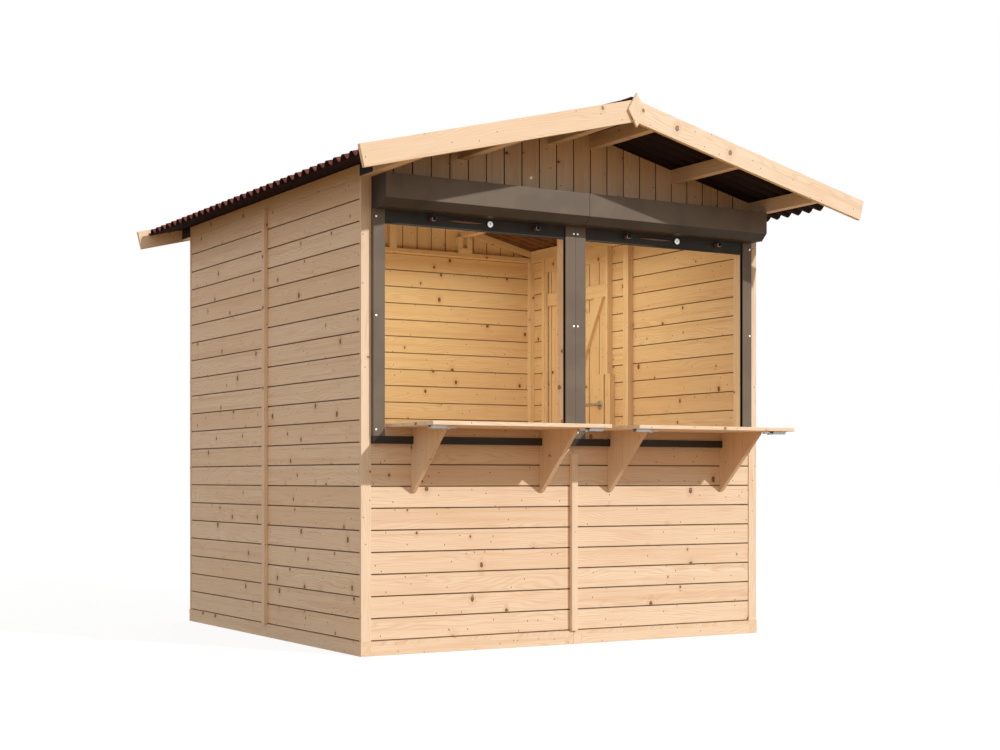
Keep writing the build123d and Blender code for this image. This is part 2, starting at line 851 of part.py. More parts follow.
# Stops on the jambs and over the leaf, set back from its inner face
stop_outer = wall_inner - door_gap
stop_inner = stop_outer - stop_thickness
stop_head_bottom = leaf_bottom + leaf_height - stop_lip
with BuildPart() as door_stops:
    with BuildSketch(Plane.XY.offset(floor_top)):
        plan_rect(stop_inner, stop_outer, door_front, door_front + stop_lip)
        plan_rect(stop_inner, stop_outer, door_back - stop_lip, door_back)
    extrude(amount=stop_head_bottom - panel_gap - floor_top)
    with BuildSketch(Plane.XY.offset(stop_head_bottom)):
        plan_rect(stop_inner, stop_outer, door_front, door_back)
    extrude(amount=wall_top - stop_head_bottom)
door_stops.part.label = "door_stops"
export_step(door_stops.part, "parts/door_stops.step")

# Ledges across the inside of the leaf and the braces between them; the middle one stays under the lock
ledge_heights = (lower_ledge_height, handle_height - middle_ledge_drop, upper_ledge_height)
ledge_inner = wall_inner - ledge_thickness
ledge_front = leaf_front + ledge_inset
ledge_back = leaf_back - ledge_inset
with BuildPart() as door_ledges:
    for height in ledge_heights:
        with BuildSketch(Plane.XY.offset(floor_top + height)):
            plan_rect(ledge_inner, wall_inner, ledge_front, ledge_back)
        extrude(amount=ledge_height)
door_ledges.part.label = "door_ledges"
export_step(door_ledges.part, "parts/door_ledges.step")

brace_head = ledge_front + brace_setback
brace_foot = ledge_back - brace_setback
with BuildPart() as door_braces:
    for low, high in zip(ledge_heights, ledge_heights[1:]):
        foot = floor_top + low + ledge_height
        head = floor_top + high
        with BuildSketch(Plane.YZ.offset(ledge_inner)):
            with BuildLine():
                Polyline(
                    (brace_foot, foot),
                    (brace_foot - brace_width, foot),
                    (brace_head, head),
                    (brace_head + brace_width, head),
                    close=True,
                )
            make_face()
        extrude(amount=ledge_thickness)
door_braces.part.label = "door_braces"
export_step(door_braces.part, "parts/door_braces.step")

# Strap hinges on the outside of the leaf; each strap ends in an eye round its pin
hinge_x = wall_face + hinge_offset
hinge_places = [floor_top + height + (ledge_height - hinge_strap_height) / 2 for height in ledge_heights[::2]]
eye_radius = hinge_pin_radius + hinge_clearance + hinge_wall
with BuildPart() as door_straps:
    for strap_bottom in hinge_places:
        with BuildSketch(Plane.XY.offset(strap_bottom)):
            with Locations((hinge_x, door_back)):
                Circle(eye_radius)
            plan_rect(wall_face, hinge_x, leaf_back - hinge_web, leaf_back)
            strap_end = leaf_back - hinge_strap_length
            plan_rect(wall_face, wall_face + hinge_strap_thickness, strap_end, leaf_back)
            with Locations((hinge_x, door_back)):
                Circle(hinge_pin_radius + hinge_clearance, mode=Mode.SUBTRACT)
        extrude(amount=hinge_strap_height)
door_straps.part.label = "door_straps"
export_step(door_straps.part, "parts/door_straps.step")

# Hinge pintles on the wall: a plate, a barrel that carries the eye and the pin in the eye
with BuildPart() as hinge_pintles:
    for strap_bottom in hinge_places:
        barrel_top = strap_bottom - hinge_clearance
        plate_start = door_back + pintle_plate_place
        with BuildSketch(Plane.XY.offset(barrel_top - pintle_plate_height)):
            with Locations((hinge_x, door_back)):
                Circle(eye_radius)
            plan_rect(wall_face, hinge_x, plate_start, plate_start + hinge_web)
            plate_face = wall_face + hinge_strap_thickness
            plan_rect(wall_face, plate_face, plate_start, plate_start + pintle_plate_width)
        extrude(amount=pintle_plate_height)
        with BuildSketch(Plane.XY.offset(barrel_top)):
            with Locations((hinge_x, door_back)):
                Circle(hinge_pin_radius)
        extrude(amount=hinge_strap_height)
hinge_pintles.part.label = "hinge_pintles"
export_step(hinge_pintles.part, "parts/hinge_pintles.step")

# Block inside the leaf that carries the lock
block_inner = wall_inner - lock_block_thickness
block_front = leaf_front + lock_block_inset
with BuildPart() as lock_block:
    with BuildSketch(Plane.XY.offset(block_bottom)):
        plan_rect(block_inner, wall_inner, block_front, block_front + lock_block_width)
    extrude(amount=lock_block_height)
    with BuildSketch(Plane.YZ.offset(block_inner)):
        with Locations((lock_middle, handle_z)):
            Circle(spindle_radius + spindle_clearance)
    extrude(amount=lock_block_thickness, mode=Mode.SUBTRACT)
lock_block.part.label = "lock_block"
export_step(lock_block.part, "parts/lock_block.step")

# Roses on the block and on the outside of the leaf
with BuildPart() as door_roses:
    for rose_plane in (block_inner - rose_thickness, wall_face):
        with BuildSketch(Plane.YZ.offset(rose_plane)):
            with Locations((lock_middle, handle_z)):
                Circle(rose_radius)
                Circle(spindle_radius + spindle_clearance, mode=Mode.SUBTRACT)
        extrude(amount=rose_thickness)
door_roses.part.label = "door_roses"
export_step(door_roses.part, "parts/door_roses.step")

# Lever handle: a spindle through the leaf with a neck and a lever at each end
with BuildPart() as door_handle:
    with BuildSketch(Plane.YZ.offset(block_inner - rose_thickness - handle_gap)):
        with Locations((lock_middle, handle_z)):
            Circle(spindle_radius)
    extrude(amount=wall_face - block_inner + 2 * (rose_thickness + handle_gap))
    for face_x, outward in ((block_inner, -1), (wall_face, 1)):
        neck_start = face_x + outward * (rose_thickness + handle_gap)
        with BuildSketch(Plane.YZ.offset(neck_start)):
            with Locations((lock_middle, handle_z)):
                Circle(handle_radius)
        extrude(amount=outward * handle_neck)
        with BuildSketch(Plane.YZ.offset(neck_start + outward * handle_neck)):
            with Locations((lock_middle + handle_length / 2, handle_z)):
                SlotCenterToCenter(handle_length, 2 * handle_radius)
        extrude(amount=outward * lever_thickness)
    for lever_face in (door_handle.faces().sort_by(Axis.X)[0], door_handle.faces().sort_by(Axis.X)[-1]):
        chamfer(lever_face.edges(), length=lever_rounding)
door_handle.part.label = "door_handle"
export_step(door_handle.part, "parts/door_handle.step")
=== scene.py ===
# %% [markdown]
# # A wooden market hut
#
# This lesson dresses a small timber sales hut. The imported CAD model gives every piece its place
# and its size, in metres, with +X to the right of the hatch side, +Y towards the back and +Z up.
# Blender adds what the CAD model leaves out: single boards with grooves, grain and knots, smooth
# corrugated roofing, screws, locks and hinges, and the light and camera of a studio picture.

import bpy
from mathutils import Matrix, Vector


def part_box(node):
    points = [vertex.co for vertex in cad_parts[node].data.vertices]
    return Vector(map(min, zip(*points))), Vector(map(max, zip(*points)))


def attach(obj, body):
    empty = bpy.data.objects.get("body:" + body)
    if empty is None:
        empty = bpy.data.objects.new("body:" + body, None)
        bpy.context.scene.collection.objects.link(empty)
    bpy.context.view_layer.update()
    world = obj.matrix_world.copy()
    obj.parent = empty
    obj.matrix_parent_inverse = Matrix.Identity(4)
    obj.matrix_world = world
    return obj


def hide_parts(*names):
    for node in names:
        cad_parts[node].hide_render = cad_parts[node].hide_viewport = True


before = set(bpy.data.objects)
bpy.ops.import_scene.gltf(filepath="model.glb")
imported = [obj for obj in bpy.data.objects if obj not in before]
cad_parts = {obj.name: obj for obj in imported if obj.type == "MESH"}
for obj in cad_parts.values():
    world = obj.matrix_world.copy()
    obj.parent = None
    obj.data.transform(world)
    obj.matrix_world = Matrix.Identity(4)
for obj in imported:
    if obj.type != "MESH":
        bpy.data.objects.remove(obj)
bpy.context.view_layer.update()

import math
import random
from functools import partial

import bmesh
import bpy
from mathutils import Matrix, Vector

MM = 0.001
PITCH = math.radians(13.66)     # slope of the roof
HUT, DOOR, HANDLE = "hut", "door", "handle"

# %% [markdown]
# ## Small helpers
#
# Colours are written as sRGB hex values, as a colour picker shows them, while shaders work in
# linear light. One function turns the first into the second. A second function adds one node,
# with its settings and its links, and gives back its output, so a material reads as steps.

# %% Colour and node helpers
def linear(hex_colour):
    """An sRGB hex colour as a linear RGBA tuple."""
    channels = []
    for start in (1, 3, 5):
        value = int(hex_colour[start:start + 2], 16) / 255
        channels.append(value / 12.92 if value <= 0.04045 else ((value + 0.055) / 1.055) ** 2.4)
    return (*channels, 1.0)


# Settings that many nodes share
MULTIPLY, MULTIPLY_ADD, MAXIMUM = [
    {"operation": name} for name in ("MULTIPLY", "MULTIPLY_ADD", "MAXIMUM")]
SMOOTH_STEP = {"interpolation_type": "SMOOTHSTEP"}     # a Map Range node: 0 to 1 between two values
COLOURS = {"data_type": "RGBA"}     # a Mix node: its colours are inputs 6 and 7 and output 2
FLAT_NOISE, FLAT_CELLS = {"noise_dimensions": "2D"}, {"voronoi_dimensions": "2D"}


def add_node(owner, kind, settings=None, *inputs, output=0, **links):
    """Adds one shader node to a material or world and returns one of its outputs.

    settings are its properties. inputs, in their order, and links, by name or as input6 by
    number, are sockets to join or values to set.
    """
    node = owner.node_tree.nodes.new("ShaderNode" + kind)
    for key, value in (settings or {}).items():
        setattr(node, key, value)
    for key, value in [*enumerate(inputs), *links.items()]:
        if isinstance(key, str):
            key = int(key[5:]) if key.startswith("input") else key.replace("_", " ")
        if isinstance(value, bpy.types.NodeSocket):
            owner.node_tree.links.new(value, node.inputs[key])
        else:
            node.inputs[key].default_value = value
    return node.outputs[output] if node.outputs else node


def clear_nodes(owner):
    """Starts the node tree of a new material or world empty."""
    owner.use_nodes = True
    owner.node_tree.nodes.clear()
    return owner


print("helpers ready")

# %% [markdown]
# ## Planed spruce
#
# The hut is raw spruce: pale, with faint streaks along the board, growth rings a few millimetres
# apart that wander where the saw met them at a slant, dark round knots and many small pin knots.
# A board's pattern has to run along that board, so each piece carries a UV map that measures
# metres along and across the grain, and each board starts at its own random place in it. A face
# attribute called tone makes some boards a little redder or paler, as in a real wall.

# %% Spruce material
RING_SPACING = 0.009     # metres between two growth rings


def spruce(name, pale, ring_colour, streak_colour, knots=1.0):
    """Planed spruce: open, dull, straight grained softwood."""
    material = clear_nodes(bpy.data.materials.new(name))
    node = partial(add_node, material)
    grain = node("UVMap", {"uv_map": "grain"})
    across = node("SeparateXYZ", None, grain, output="Y")
    tone = node("Attribute", {"attribute_name": "tone"}, output="Fac")
    gap = node("Attribute", {"attribute_name": "gap"}, output="Fac")

    # Noise stretched along the board, each with its rates along and across and its detail: the
    # bend of the rings, streaks 1 to 2 mm wide and a hand long, soft clouds, broad heart streaks
    bend, streaks, clouds, heart = [
        node("TexNoise", FLAT_NOISE, Scale=1.0, Detail=detail,
             Vector=node("VectorMath", MULTIPLY, grain, (*rates, 0.0)))
        for rates, detail in (((1.1, 7.0), 2.0), ((5.0, 420.0), 3.0), ((2.4, 16.0), 2.0),
                              ((0.45, 26.0), 1.0))]

    # Knots: the nearest seed of a 156 by 217 mm cell, kept in about every second cell
    seeds = node("TexVoronoi", FLAT_CELLS, Scale=1.0,
                 Vector=node("VectorMath", MULTIPLY, grain, (6.4, 4.6, 0.0))).node.outputs
    traits = node("SeparateColor", None, seeds["Color"]).node.outputs
    kept = node("MapRange", SMOOTH_STEP, traits[0], 0.46, 0.48)
    radius = node("Math", MULTIPLY_ADD, traits[1], 0.046, 0.020)
    reach = node("Math", {"operation": "DIVIDE"}, seeds["Distance"], radius)
    wobble = node("TexNoise", FLAT_NOISE, Vector=grain, Scale=160.0, Detail=1.0)
    reach = node("Math", MULTIPLY_ADD, wobble, 0.5, reach)
    reach = node("Math", {"operation": "SUBTRACT"}, reach, 0.25)
    knot_core = node("Math", MULTIPLY, node("MapRange", SMOOTH_STEP, reach, 1.15, 0.85), kept)
    knot_rim = node("Math", MULTIPLY, node("MapRange", SMOOTH_STEP, reach, 0.55, 0.9), knot_core)
    knot_halo = node("Math", MULTIPLY, node("MapRange", SMOOTH_STEP, reach, 4.2, 1.0), kept)

    # Pin knots: small dark ticks across the board, about 5 mm by 9 mm
    pins = node("TexVoronoi", FLAT_CELLS, Scale=1.0,
                Vector=node("VectorMath", MULTIPLY, grain, (15.0, 9.0, 0.0))).node.outputs
    pin_trait = node("SeparateColor", None, pins["Color"], output=2)
    pin_kept = node("MapRange", SMOOTH_STEP, pin_trait, 0.55, 0.57)
    pin_core = node("MapRange", SMOOTH_STEP, pins["Distance"], 0.042, 0.024)
    pin_core = node("Math", MULTIPLY, pin_core, pin_kept)

    # Growth rings that loop where the saw met them at a slant and swing round a knot
    ring_place = node("Math", MULTIPLY_ADD, bend, 0.15, across)
    ring_place = node("Math", MULTIPLY_ADD, knot_halo, 0.010, ring_place)
    ring_phase = node("Math", MULTIPLY, ring_place, 2 * math.pi / RING_SPACING)
    rings = node("Math", MULTIPLY_ADD, node("Math", {"operation": "SINE"}, ring_phase), 0.5, 0.5)
    rings = node("Math", {"operation": "POWER"}, rings, 2.6)

    # The layers over the pale wood: where, how strong and which colour. The last is painted shade
    # in the grooves and on the board sides: a darker, warmer brown where little light reaches
    colour = linear(pale)
    for where, strength, layer in (
            (rings, 0.46, ring_colour),
            (node("MapRange", SMOOTH_STEP, heart, 0.55, 0.75), 0.24, streak_colour),
            (node("MapRange", SMOOTH_STEP, streaks, 0.48, 0.80), 0.46, streak_colour),
            (node("MapRange", SMOOTH_STEP, clouds, 0.50, 0.78), 0.30, ring_colour),
            (tone, 0.36, ring_colour),
            (knot_halo, 0.30 * knots, streak_colour),
            (knot_core, 0.92 * knots, "#7C4A2B"),
            (knot_rim, 0.80 * knots, "#46301C"),
            (pin_core, 0.92 * knots, "#4C3621"),
            (gap, 0.85, "#6A4722")):
        share = node("Math", MULTIPLY, where, strength)
        colour = node("Mix", COLOURS, share, input6=colour, input7=linear(layer), output=2)

    relief = node("Math", MULTIPLY_ADD, streaks, 0.5, node("Math", MULTIPLY, rings, 0.5))
    shader = node("BsdfPrincipled", Base_Color=colour,
                  Roughness=node("Math", MULTIPLY_ADD, streaks, 0.16, 0.56),
                  Normal=node("Bump", Strength=0.12, Distance=0.0006, Height=relief))
    node("OutputMaterial", Surface=shader)
    return material


wall_spruce = spruce("planed_spruce_boards", "#F7E1C8", "#E3BC95", "#CB9B6E")
timber_spruce = spruce("planed_spruce_timber", "#F7E2CA", "#E6C29C", "#CF9F73", knots=0.8)
print("spruce finishes:", wall_spruce.name, timber_spruce.name)

# %% [markdown]
# ## Metals, roofing and plastic
#
# The shutters are roll formed aluminium with a dark grey powder coat: satin, with the fine orange
# peel that such a coat has. Hinges and slide bolts are zinc plated steel, which is mottled in
# soft grey spangles. The roofing is bitumen fibre sheet, a matt dark red above and nearly black
# below. Grips and stoppers carry a painted reflection: brown for the warm wood on glossy black
# plastic. Slots, bores and keyholes are painted black as shade, and the door handle is aluminium.

# %% Other materials
def plain_finish(name, colour, second, size_mm, roughness, metallic=0.0, bump_mm=0.02,
                 specular=0.5, below=None):
    """A finish whose colour wanders between two near values; faces that look down may differ."""
    material = clear_nodes(bpy.data.materials.new(name))
    node = partial(add_node, material)
    place = node("TexCoord", output="Object")
    patches = node("TexNoise", Vector=place, Scale=1000.0 / size_mm, Detail=3.0)
    share = node("MapRange", SMOOTH_STEP, patches, 0.42, 0.62)
    tint = node("Mix", COLOURS, share, input6=linear(colour), input7=linear(second), output=2)
    if below:
        upward = node("SeparateXYZ", None, node("TexCoord", output="Normal"), output="Z")
        share = node("MapRange", SMOOTH_STEP, upward, -0.1, 0.3)
        tint = node("Mix", COLOURS, share, input6=linear(below), input7=tint, output=2)
    fine = node("TexNoise", Vector=place, Scale=900.0, Detail=1.0)
    shader = node("BsdfPrincipled", Base_Color=tint, Metallic=metallic,
                  Roughness=node("Math", MULTIPLY_ADD, patches, 0.14, roughness - 0.07),
                  Specular_IOR_Level=specular,
                  Normal=node("Bump", Strength=0.25, Distance=bump_mm * MM, Height=fine))
    node("OutputMaterial", Surface=shader)
    return material


# Powder coated aluminium: a satin dark grey plastic skin over metal
powder_coat = plain_finish("powder_coated_aluminium", "#736659", "#6A5E53", 160.0, 0.46,
                           specular=0.3)
# The same coat, darker: painted shade on the lower edge and the ends of a box, which face away from
# the light
box_shade_coat = plain_finish("powder_coat_painted_shade", "#463C32", "#3F362D", 160.0, 0.5,
                           specular=0.2)
# The same coat in near black, on the end slats and the bar below the hatches
dark_coat = plain_finish("black_powder_coat", "#393530", "#322E2A", 160.0, 0.5, specular=0.2)
# Bitumen fibre sheet: matt, granular, dark red above and nearly black below
bitumen_sheet = plain_finish("bitumen_fibre_sheet", "#7F4540", "#6A3430", 40.0, 0.82, bump_mm=0.25,
                             specular=0.15, below="#26150F")
# The underside of that sheet inside the room, painted a lighter brown for the light that the walls
# throw back
bitumen_painted_bounce = plain_finish("bitumen_underside_painted_room_light", "#78563D", "#6C4D37", 40.0, 0.85,
                              specular=0.1)
# The cut edge of that sheet, where its black core shows
bitumen_core = plain_finish("bitumen_sheet_core", "#170D0E", "#120A0B", 30.0, 0.85, specular=0.1)
# Zinc plated steel: soft grey spangles
zinc_plate = plain_finish("zinc_plated_steel", "#B0AFAB", "#94938F", 6.0, 0.38, metallic=1.0)
# Deep black and dull: painted shade in the rail slots, the stopper bores and the keyholes, and
# round the locks
black_painted_shade = plain_finish("black_painted_shade", "#1B1A19", "#232120", 12.0, 0.62)
# Anodised aluminium: pale, even, satin
satin_aluminium = plain_finish("anodised_aluminium", "#C4C5C6", "#B7B8BA", 30.0, 0.34, metallic=1.0)
# Nickel plate: bright and satin, it shows the white surroundings
nickel_plate = plain_finish("satin_nickel_plate", "#FBFBF9", "#F4F4F1", 5.0, 0.42, metallic=1.0,
                            bump_mm=0.0)
# Brown on the grips and the stoppers: a painted reflection of the warm wood on glossy black plastic
brown_painted_reflection = plain_finish("black_plastic_painted_warm_reflection", "#785340", "#6A4838", 12.0, 0.45)
# Near black, slightly satin: painted shade, on the plates and screw heads at the ends of the eaves
# purlins
shade_plate_black = plain_finish("shade_plate_finish", "#17161A", "#1D1B1E", 60.0, 0.5)
print("finishes:", [m.name for m in (powder_coat, bitumen_sheet, zinc_plate, black_painted_shade)])

# %% [markdown]
# ## From mesh to piece
#
# Every new piece is made in a bmesh and turned into an object that sits at the origin, with its
# place in its mesh, just as the CAD nodes do. The grain map is worked out face by face: one way
# runs along the timber, the other across it within the face, and the end of a timber gets its
# own two ways. That is what a carpenter sees too: long grain on four sides, end grain on two.

# %% Piece helpers
chance = random.Random(7)
ONE_PLANE, SHARP = math.radians(1), math.radians(30)     # angles between neighbouring faces
END_GRAIN = 0.8     # a face whose normal lies this close to the grain shows end grain


def timber_mesh(source=None):
    """A bmesh with a UV layer for the grain and a face layer for the tone of each board."""
    mesh = bmesh.new()
    if source:
        mesh.from_mesh(source)
    mesh.loops.layers.uv.new("grain")
    mesh.faces.layers.float.new("tone")
    mesh.faces.layers.float.new("gap")
    return mesh


def map_grain(mesh, faces, along):
    """Maps metres along and across the grain on these faces, from one random place."""
    grain, tone = mesh.loops.layers.uv["grain"], mesh.faces.layers.float["tone"]
    along = Vector(along).normalized()
    shift_along, shift_across = chance.uniform(0, 60), chance.uniform(0, 60)
    redness = chance.random()
    for face in faces:
        normal = face.normal
        if abs(normal.dot(along)) > END_GRAIN:
            first = along.orthogonal().normalized()
        else:
            first = along
        second = normal.cross(first).normalized()
        face[tone] = redness
        for loop in face.loops:
            place = loop.vert.co
            loop[grain].uv = (place.dot(first) + shift_along, place.dot(second) + shift_across)


def add_piece(name, mesh, material, body, replaced=(), smooth=False):
    """Makes the bmesh an object that rides on a body and may stand for CAD nodes."""
    data = bpy.data.meshes.new(name)
    mesh.to_mesh(data)
    mesh.free()
    data.materials.append(material)
    if smooth:
        data.shade_smooth()
    piece = bpy.data.objects.new(name, data)
    bpy.context.scene.collection.objects.link(piece)
    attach(piece, body)
    if replaced:
        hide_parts(*replaced)
    return piece


def paint_faces(piece, material, chosen):
    """Gives a second finish to the faces for which chosen(middle, normal) is true."""
    piece.data.materials.append(material)
    picked = [face for face in piece.data.polygons if chosen(face.center, face.normal)]
    for face in picked:
        face.material_index = len(piece.data.materials) - 1
    print(piece.name, material.name, "faces:", len(picked))


def islands(mesh):
    """The faces of each separate solid in a bmesh."""
    seen, groups = set(), []
    for start in mesh.faces:
        if start in seen:
            continue
        group, waiting = [], [start]
        seen.add(start)
        while waiting:
            face = waiting.pop()
            group.append(face)
            for edge in face.edges:
                for near in edge.link_faces:
                    if near not in seen:
                        seen.add(near)
                        waiting.append(near)
        groups.append(group)
    return groups


def extent(faces):
    """Lowest and highest corner of some faces."""
    corners = [v.co for f in faces for v in f.verts]
    low = Vector([min(c[i] for c in corners) for i in range(3)])
    high = Vector([max(c[i] for c in corners) for i in range(3)])
    return low, high


def round_edges(mesh, edges, size, segments=2, clamp_overlap=False):
    """Bevels these edges with a round of this size."""
    bmesh.ops.bevel(mesh, geom=edges, offset=size, segments=segments, affect="EDGES",
                    profile=0.5, material=-1, clamp_overlap=clamp_overlap)


def ease_edges(mesh, ease_mm):
    """Joins the facets that lie in one plane, then eases the sharp edges."""
    bmesh.ops.remove_doubles(mesh, verts=mesh.verts, dist=0.02 * MM)
    bmesh.ops.dissolve_limit(mesh, angle_limit=ONE_PLANE, verts=mesh.verts, edges=mesh.edges)
    sharp = [e for e in mesh.edges if len(e.link_faces) == 2 and e.calc_face_angle() > SHARP]
    round_edges(mesh, sharp, ease_mm * MM, clamp_overlap=True)


def dress_timber(node, body, ease_mm=1.5, along=None):
    """Copies a CAD node's solids, eases their edges and maps the grain along each one."""
    mesh = timber_mesh(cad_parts[node].data)
    ease_edges(mesh, ease_mm)
    mesh.normal_update()
    groups = islands(mesh)
    for group in groups:
        low, high = extent(group)
        if along:
            way = along((low + high) / 2)
        else:
            sizes = high - low
            way = [1.0 if i == max(range(3), key=lambda k: sizes[k]) else 0.0 for i in range(3)]
        map_grain(mesh, group, way)
    piece = add_piece(node + "_timber", mesh, timber_spruce, body, (node,))
    print(piece.name, len(groups), "pieces of timber")


print("piece helpers ready")

# %% [markdown]
# ## Board walls
#
# The walls are softwood boards that cover 96 mm each. A board has a tongue and groove, and on the
# outside a square groove below its face, 5.5 mm high, which draws the dark line that the eye sees
# between two boards. The faces in that groove and on the board sides also carry painted shade.
# Each board is one closed solid: a few vertices give its section, one face fills it, and an
# extrusion pulls it along the wall. A whole wall is one object.

# %% One board
COVER = 96 * MM          # width that one board covers
GROOVE = 5.5 * MM        # height of the outer groove
GROOVE_DEPTH = 7 * MM    # depth of the outer groove
EASE = 1.2 * MM          # eased edge of a board's face
BACK_EASE = 3.0 * MM     # small bevel on the inner side
FINE_LINE = 17 * MM      # from the upper edge down to the fine line cut into a board's face
LINE_WIDTH = 1.2 * MM    # width and depth of that line
WIDE = 60 * MM           # only boards wider than this have the fine line
LAST_ROW = 73 * MM       # the ripped board under the top of a wall
LAST_ROW_FROM = 75 * MM  # a rest of at least this much gets such a board
WHOLE_ROW_FROM = 98 * MM # whole boards go up while more than this is left
STRIP, STRIP_FROM = 23 * MM, 24 * MM     # the strip over it, and the rest that is split by one
FACING = 0.9             # a face whose normal lies this close to a direction faces that way


def extrude_section(mesh, points, pull):
    """Fills a closed section through these points and extrudes it by the pull vector."""
    corners = [mesh.verts.new(point) for point in points]
    base = mesh.faces.new(corners)
    made = bmesh.ops.extrude_face_region(mesh, geom=[base], use_keep_orig=True)["geom"]
    made = [g for g in made if isinstance(g, bmesh.types.BMVert)]
    bmesh.ops.translate(mesh, verts=made, vec=pull)
    faces = {f for v in made for f in v.link_faces}
    faces.add(base)
    bmesh.ops.recalc_face_normals(mesh, faces=list(faces))
    return list(faces)


def add_board(mesh, corner, along, across, outward, length, width, thick):
    """One board. corner is its lower end at the outer face; across is the way its width runs."""
    along, across, outward = Vector(along), Vector(across), Vector(outward)
    if width > 3 * GROOVE:
        line = width - FINE_LINE
        fine = [(line - LINE_WIDTH, 0.0), (line - LINE_WIDTH / 2, LINE_WIDTH), (line, 0.0)]
        section = [(0.0, thick - BACK_EASE), (0.0, GROOVE_DEPTH), (GROOVE, GROOVE_DEPTH),
                   (GROOVE, EASE), (GROOVE + EASE, 0.0), *(fine if width > WIDE else []),
                   (width - EASE, 0.0), (width, EASE), (width, thick - BACK_EASE),
                   (width - BACK_EASE, thick), (BACK_EASE, thick)]
    else:
        section = [(0.0, thick), (0.0, 0.0), (width, 0.0), (width, thick)]
    points = [Vector(corner) + across * a - outward * d for a, d in section]
    faces = extrude_section(mesh, points, along * length)
    mesh.normal_update()
    map_grain(mesh, faces, along)
    # Painted shade: faces in the outer groove and on the board sides get a darker brown, where
    # little light reaches
    gap = mesh.faces.layers.float["gap"]
    for face in faces:
        depth = (Vector(corner) - face.calc_center_median()).dot(outward)
        on_a_side = (abs(face.normal.dot(outward)) < FACING
                     and abs(face.normal.dot(along)) < FACING)
        in_the_groove = abs(depth - GROOVE_DEPTH) < 1 * MM
        face[gap] = 1.0 if depth > 1.5 * EASE and (on_a_side or in_the_groove) else 0.0


def rows_between(bottom, top):
    """Heights of the board rows of a wall: whole boards, then the two cut ones under the top."""
    edges = [bottom + COVER * k for k in range(60) if bottom + COVER * k < top - WHOLE_ROW_FROM]
    last = edges[-1] + LAST_ROW if top - edges[-1] > LAST_ROW_FROM else top
    if top - edges[-1] > COVER:
        edges.append(edges[-1] + COVER)
        last = edges[-1] + LAST_ROW
    if last < top:
        edges.append(last)
        if top - last > STRIP_FROM:
            edges.append(last + STRIP)
    edges.append(top)
    return list(zip(edges, edges[1:]))


print("a board covers", COVER, "m")

# %% [markdown]
# ### The four walls
#
# Every wall is made of two panels that meet under a batten. The boards of a panel are as long as
# the panel, so the rows are cut at the joint. The CAD boxes of the walls give the faces, and the
# row heights start at the floor.

# %% Side walls, back wall and parapet
floor_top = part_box("floor_deck")[1][2]
wall_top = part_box("left_wall")[1][2]
middle_y = sum(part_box("floor_deck")[i][1] for i in (0, 1)) / 2
HALF_JOINT = 0.5 * MM
END_GAP = 1.5 * MM       # between the ends of the parapet boards and the corner posts


def wall_of_boards(name, node, spans, axis, outward, top):
    """Rows of boards over the spans (low, high) along an axis, on the outer face of a CAD node."""
    low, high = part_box(node)
    normal_axis = 1 - axis
    face = high[normal_axis] if outward[normal_axis] > 0 else low[normal_axis]
    thick = high[normal_axis] - low[normal_axis]
    along = (1, 0, 0) if axis == 0 else (0, 1, 0)
    mesh = timber_mesh()
    rows = rows_between(floor_top, top)
    for start, end in spans:
        for row_bottom, row_top in rows:
            corner = [0.0, 0.0, row_bottom]
            corner[axis], corner[normal_axis] = start, face
            add_board(mesh, corner, along, (0, 0, 1), outward, end - start, row_top - row_bottom,
                      thick)
    add_piece(name, mesh, wall_spruce, HUT, (node,))
    print(name, "boards:", len(rows) * len(spans))


low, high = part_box("left_wall")
wall_of_boards("left_wall_boards", "left_wall",
               [(low[1], middle_y - HALF_JOINT), (middle_y + HALF_JOINT, high[1])],
               1, (-1, 0, 0), wall_top)

low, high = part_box("right_wall")
door_low, door_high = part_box("right_wall_over_door")
wall_of_boards("right_wall_boards", "right_wall",
               [(low[1], middle_y - HALF_JOINT), (middle_y + HALF_JOINT, door_low[1]),
                (door_high[1], high[1])], 1, (1, 0, 0), wall_top)

mesh = timber_mesh()
add_board(mesh, (door_high[0], door_low[1], door_low[2]), (0, 1, 0), (0, 0, 1), (1, 0, 0),
          door_high[1] - door_low[1], door_high[2] - door_low[2], door_high[0] - door_low[0])
add_piece("board_over_door", mesh, wall_spruce, HUT, ("right_wall_over_door",))

low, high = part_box("back_wall")
wall_of_boards("back_wall_boards", "back_wall", [(low[0], -HALF_JOINT), (HALF_JOINT, high[0])],
               0, (0, 1, 0), wall_top)

low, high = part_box("front_parapet")
wall_of_boards("parapet_boards", "front_parapet",
               [(low[0] + END_GAP, -HALF_JOINT), (HALF_JOINT, high[0] - END_GAP)],
               0, (0, -1, 0), high[2])

# %% [markdown]
# ### Gable boards
#
# The gables are upright boards. They are made too long and then cut to the slope of the roof with
# two bisecting planes, as a carpenter would saw them along a line, and the cut ends are closed.

# %% Gables
GABLE_JOINT = 3.6 * MM   # from the middle of the hut to the nearest joint of the upright boards
NARROW_LEFT, NARROW_RIGHT = 30 * MM, 4 * MM     # no board at an end is narrower than this
BOARD_THICK = 16 * MM
SAW_WASTE = 50 * MM      # how far the boards stand over the ridge before they are cut
HAIR = 1e-6              # distance within which a corner counts as lying in a cutting plane


def everything(mesh):
    """All corners, edges and faces of a mesh."""
    return mesh.verts[:] + mesh.edges[:] + mesh.faces[:]


def cut_above(mesh, point, normal):
    """Saws off all that lies beyond a plane and closes the sawn ends."""
    cut = bmesh.ops.bisect_plane(mesh, geom=everything(mesh), dist=HAIR, plane_co=point,
                                 plane_no=normal, clear_outer=True)
    edges = [g for g in cut["geom_cut"] if isinstance(g, bmesh.types.BMEdge)]
    return bmesh.ops.holes_fill(mesh, edges=edges, sides=0)["faces"]


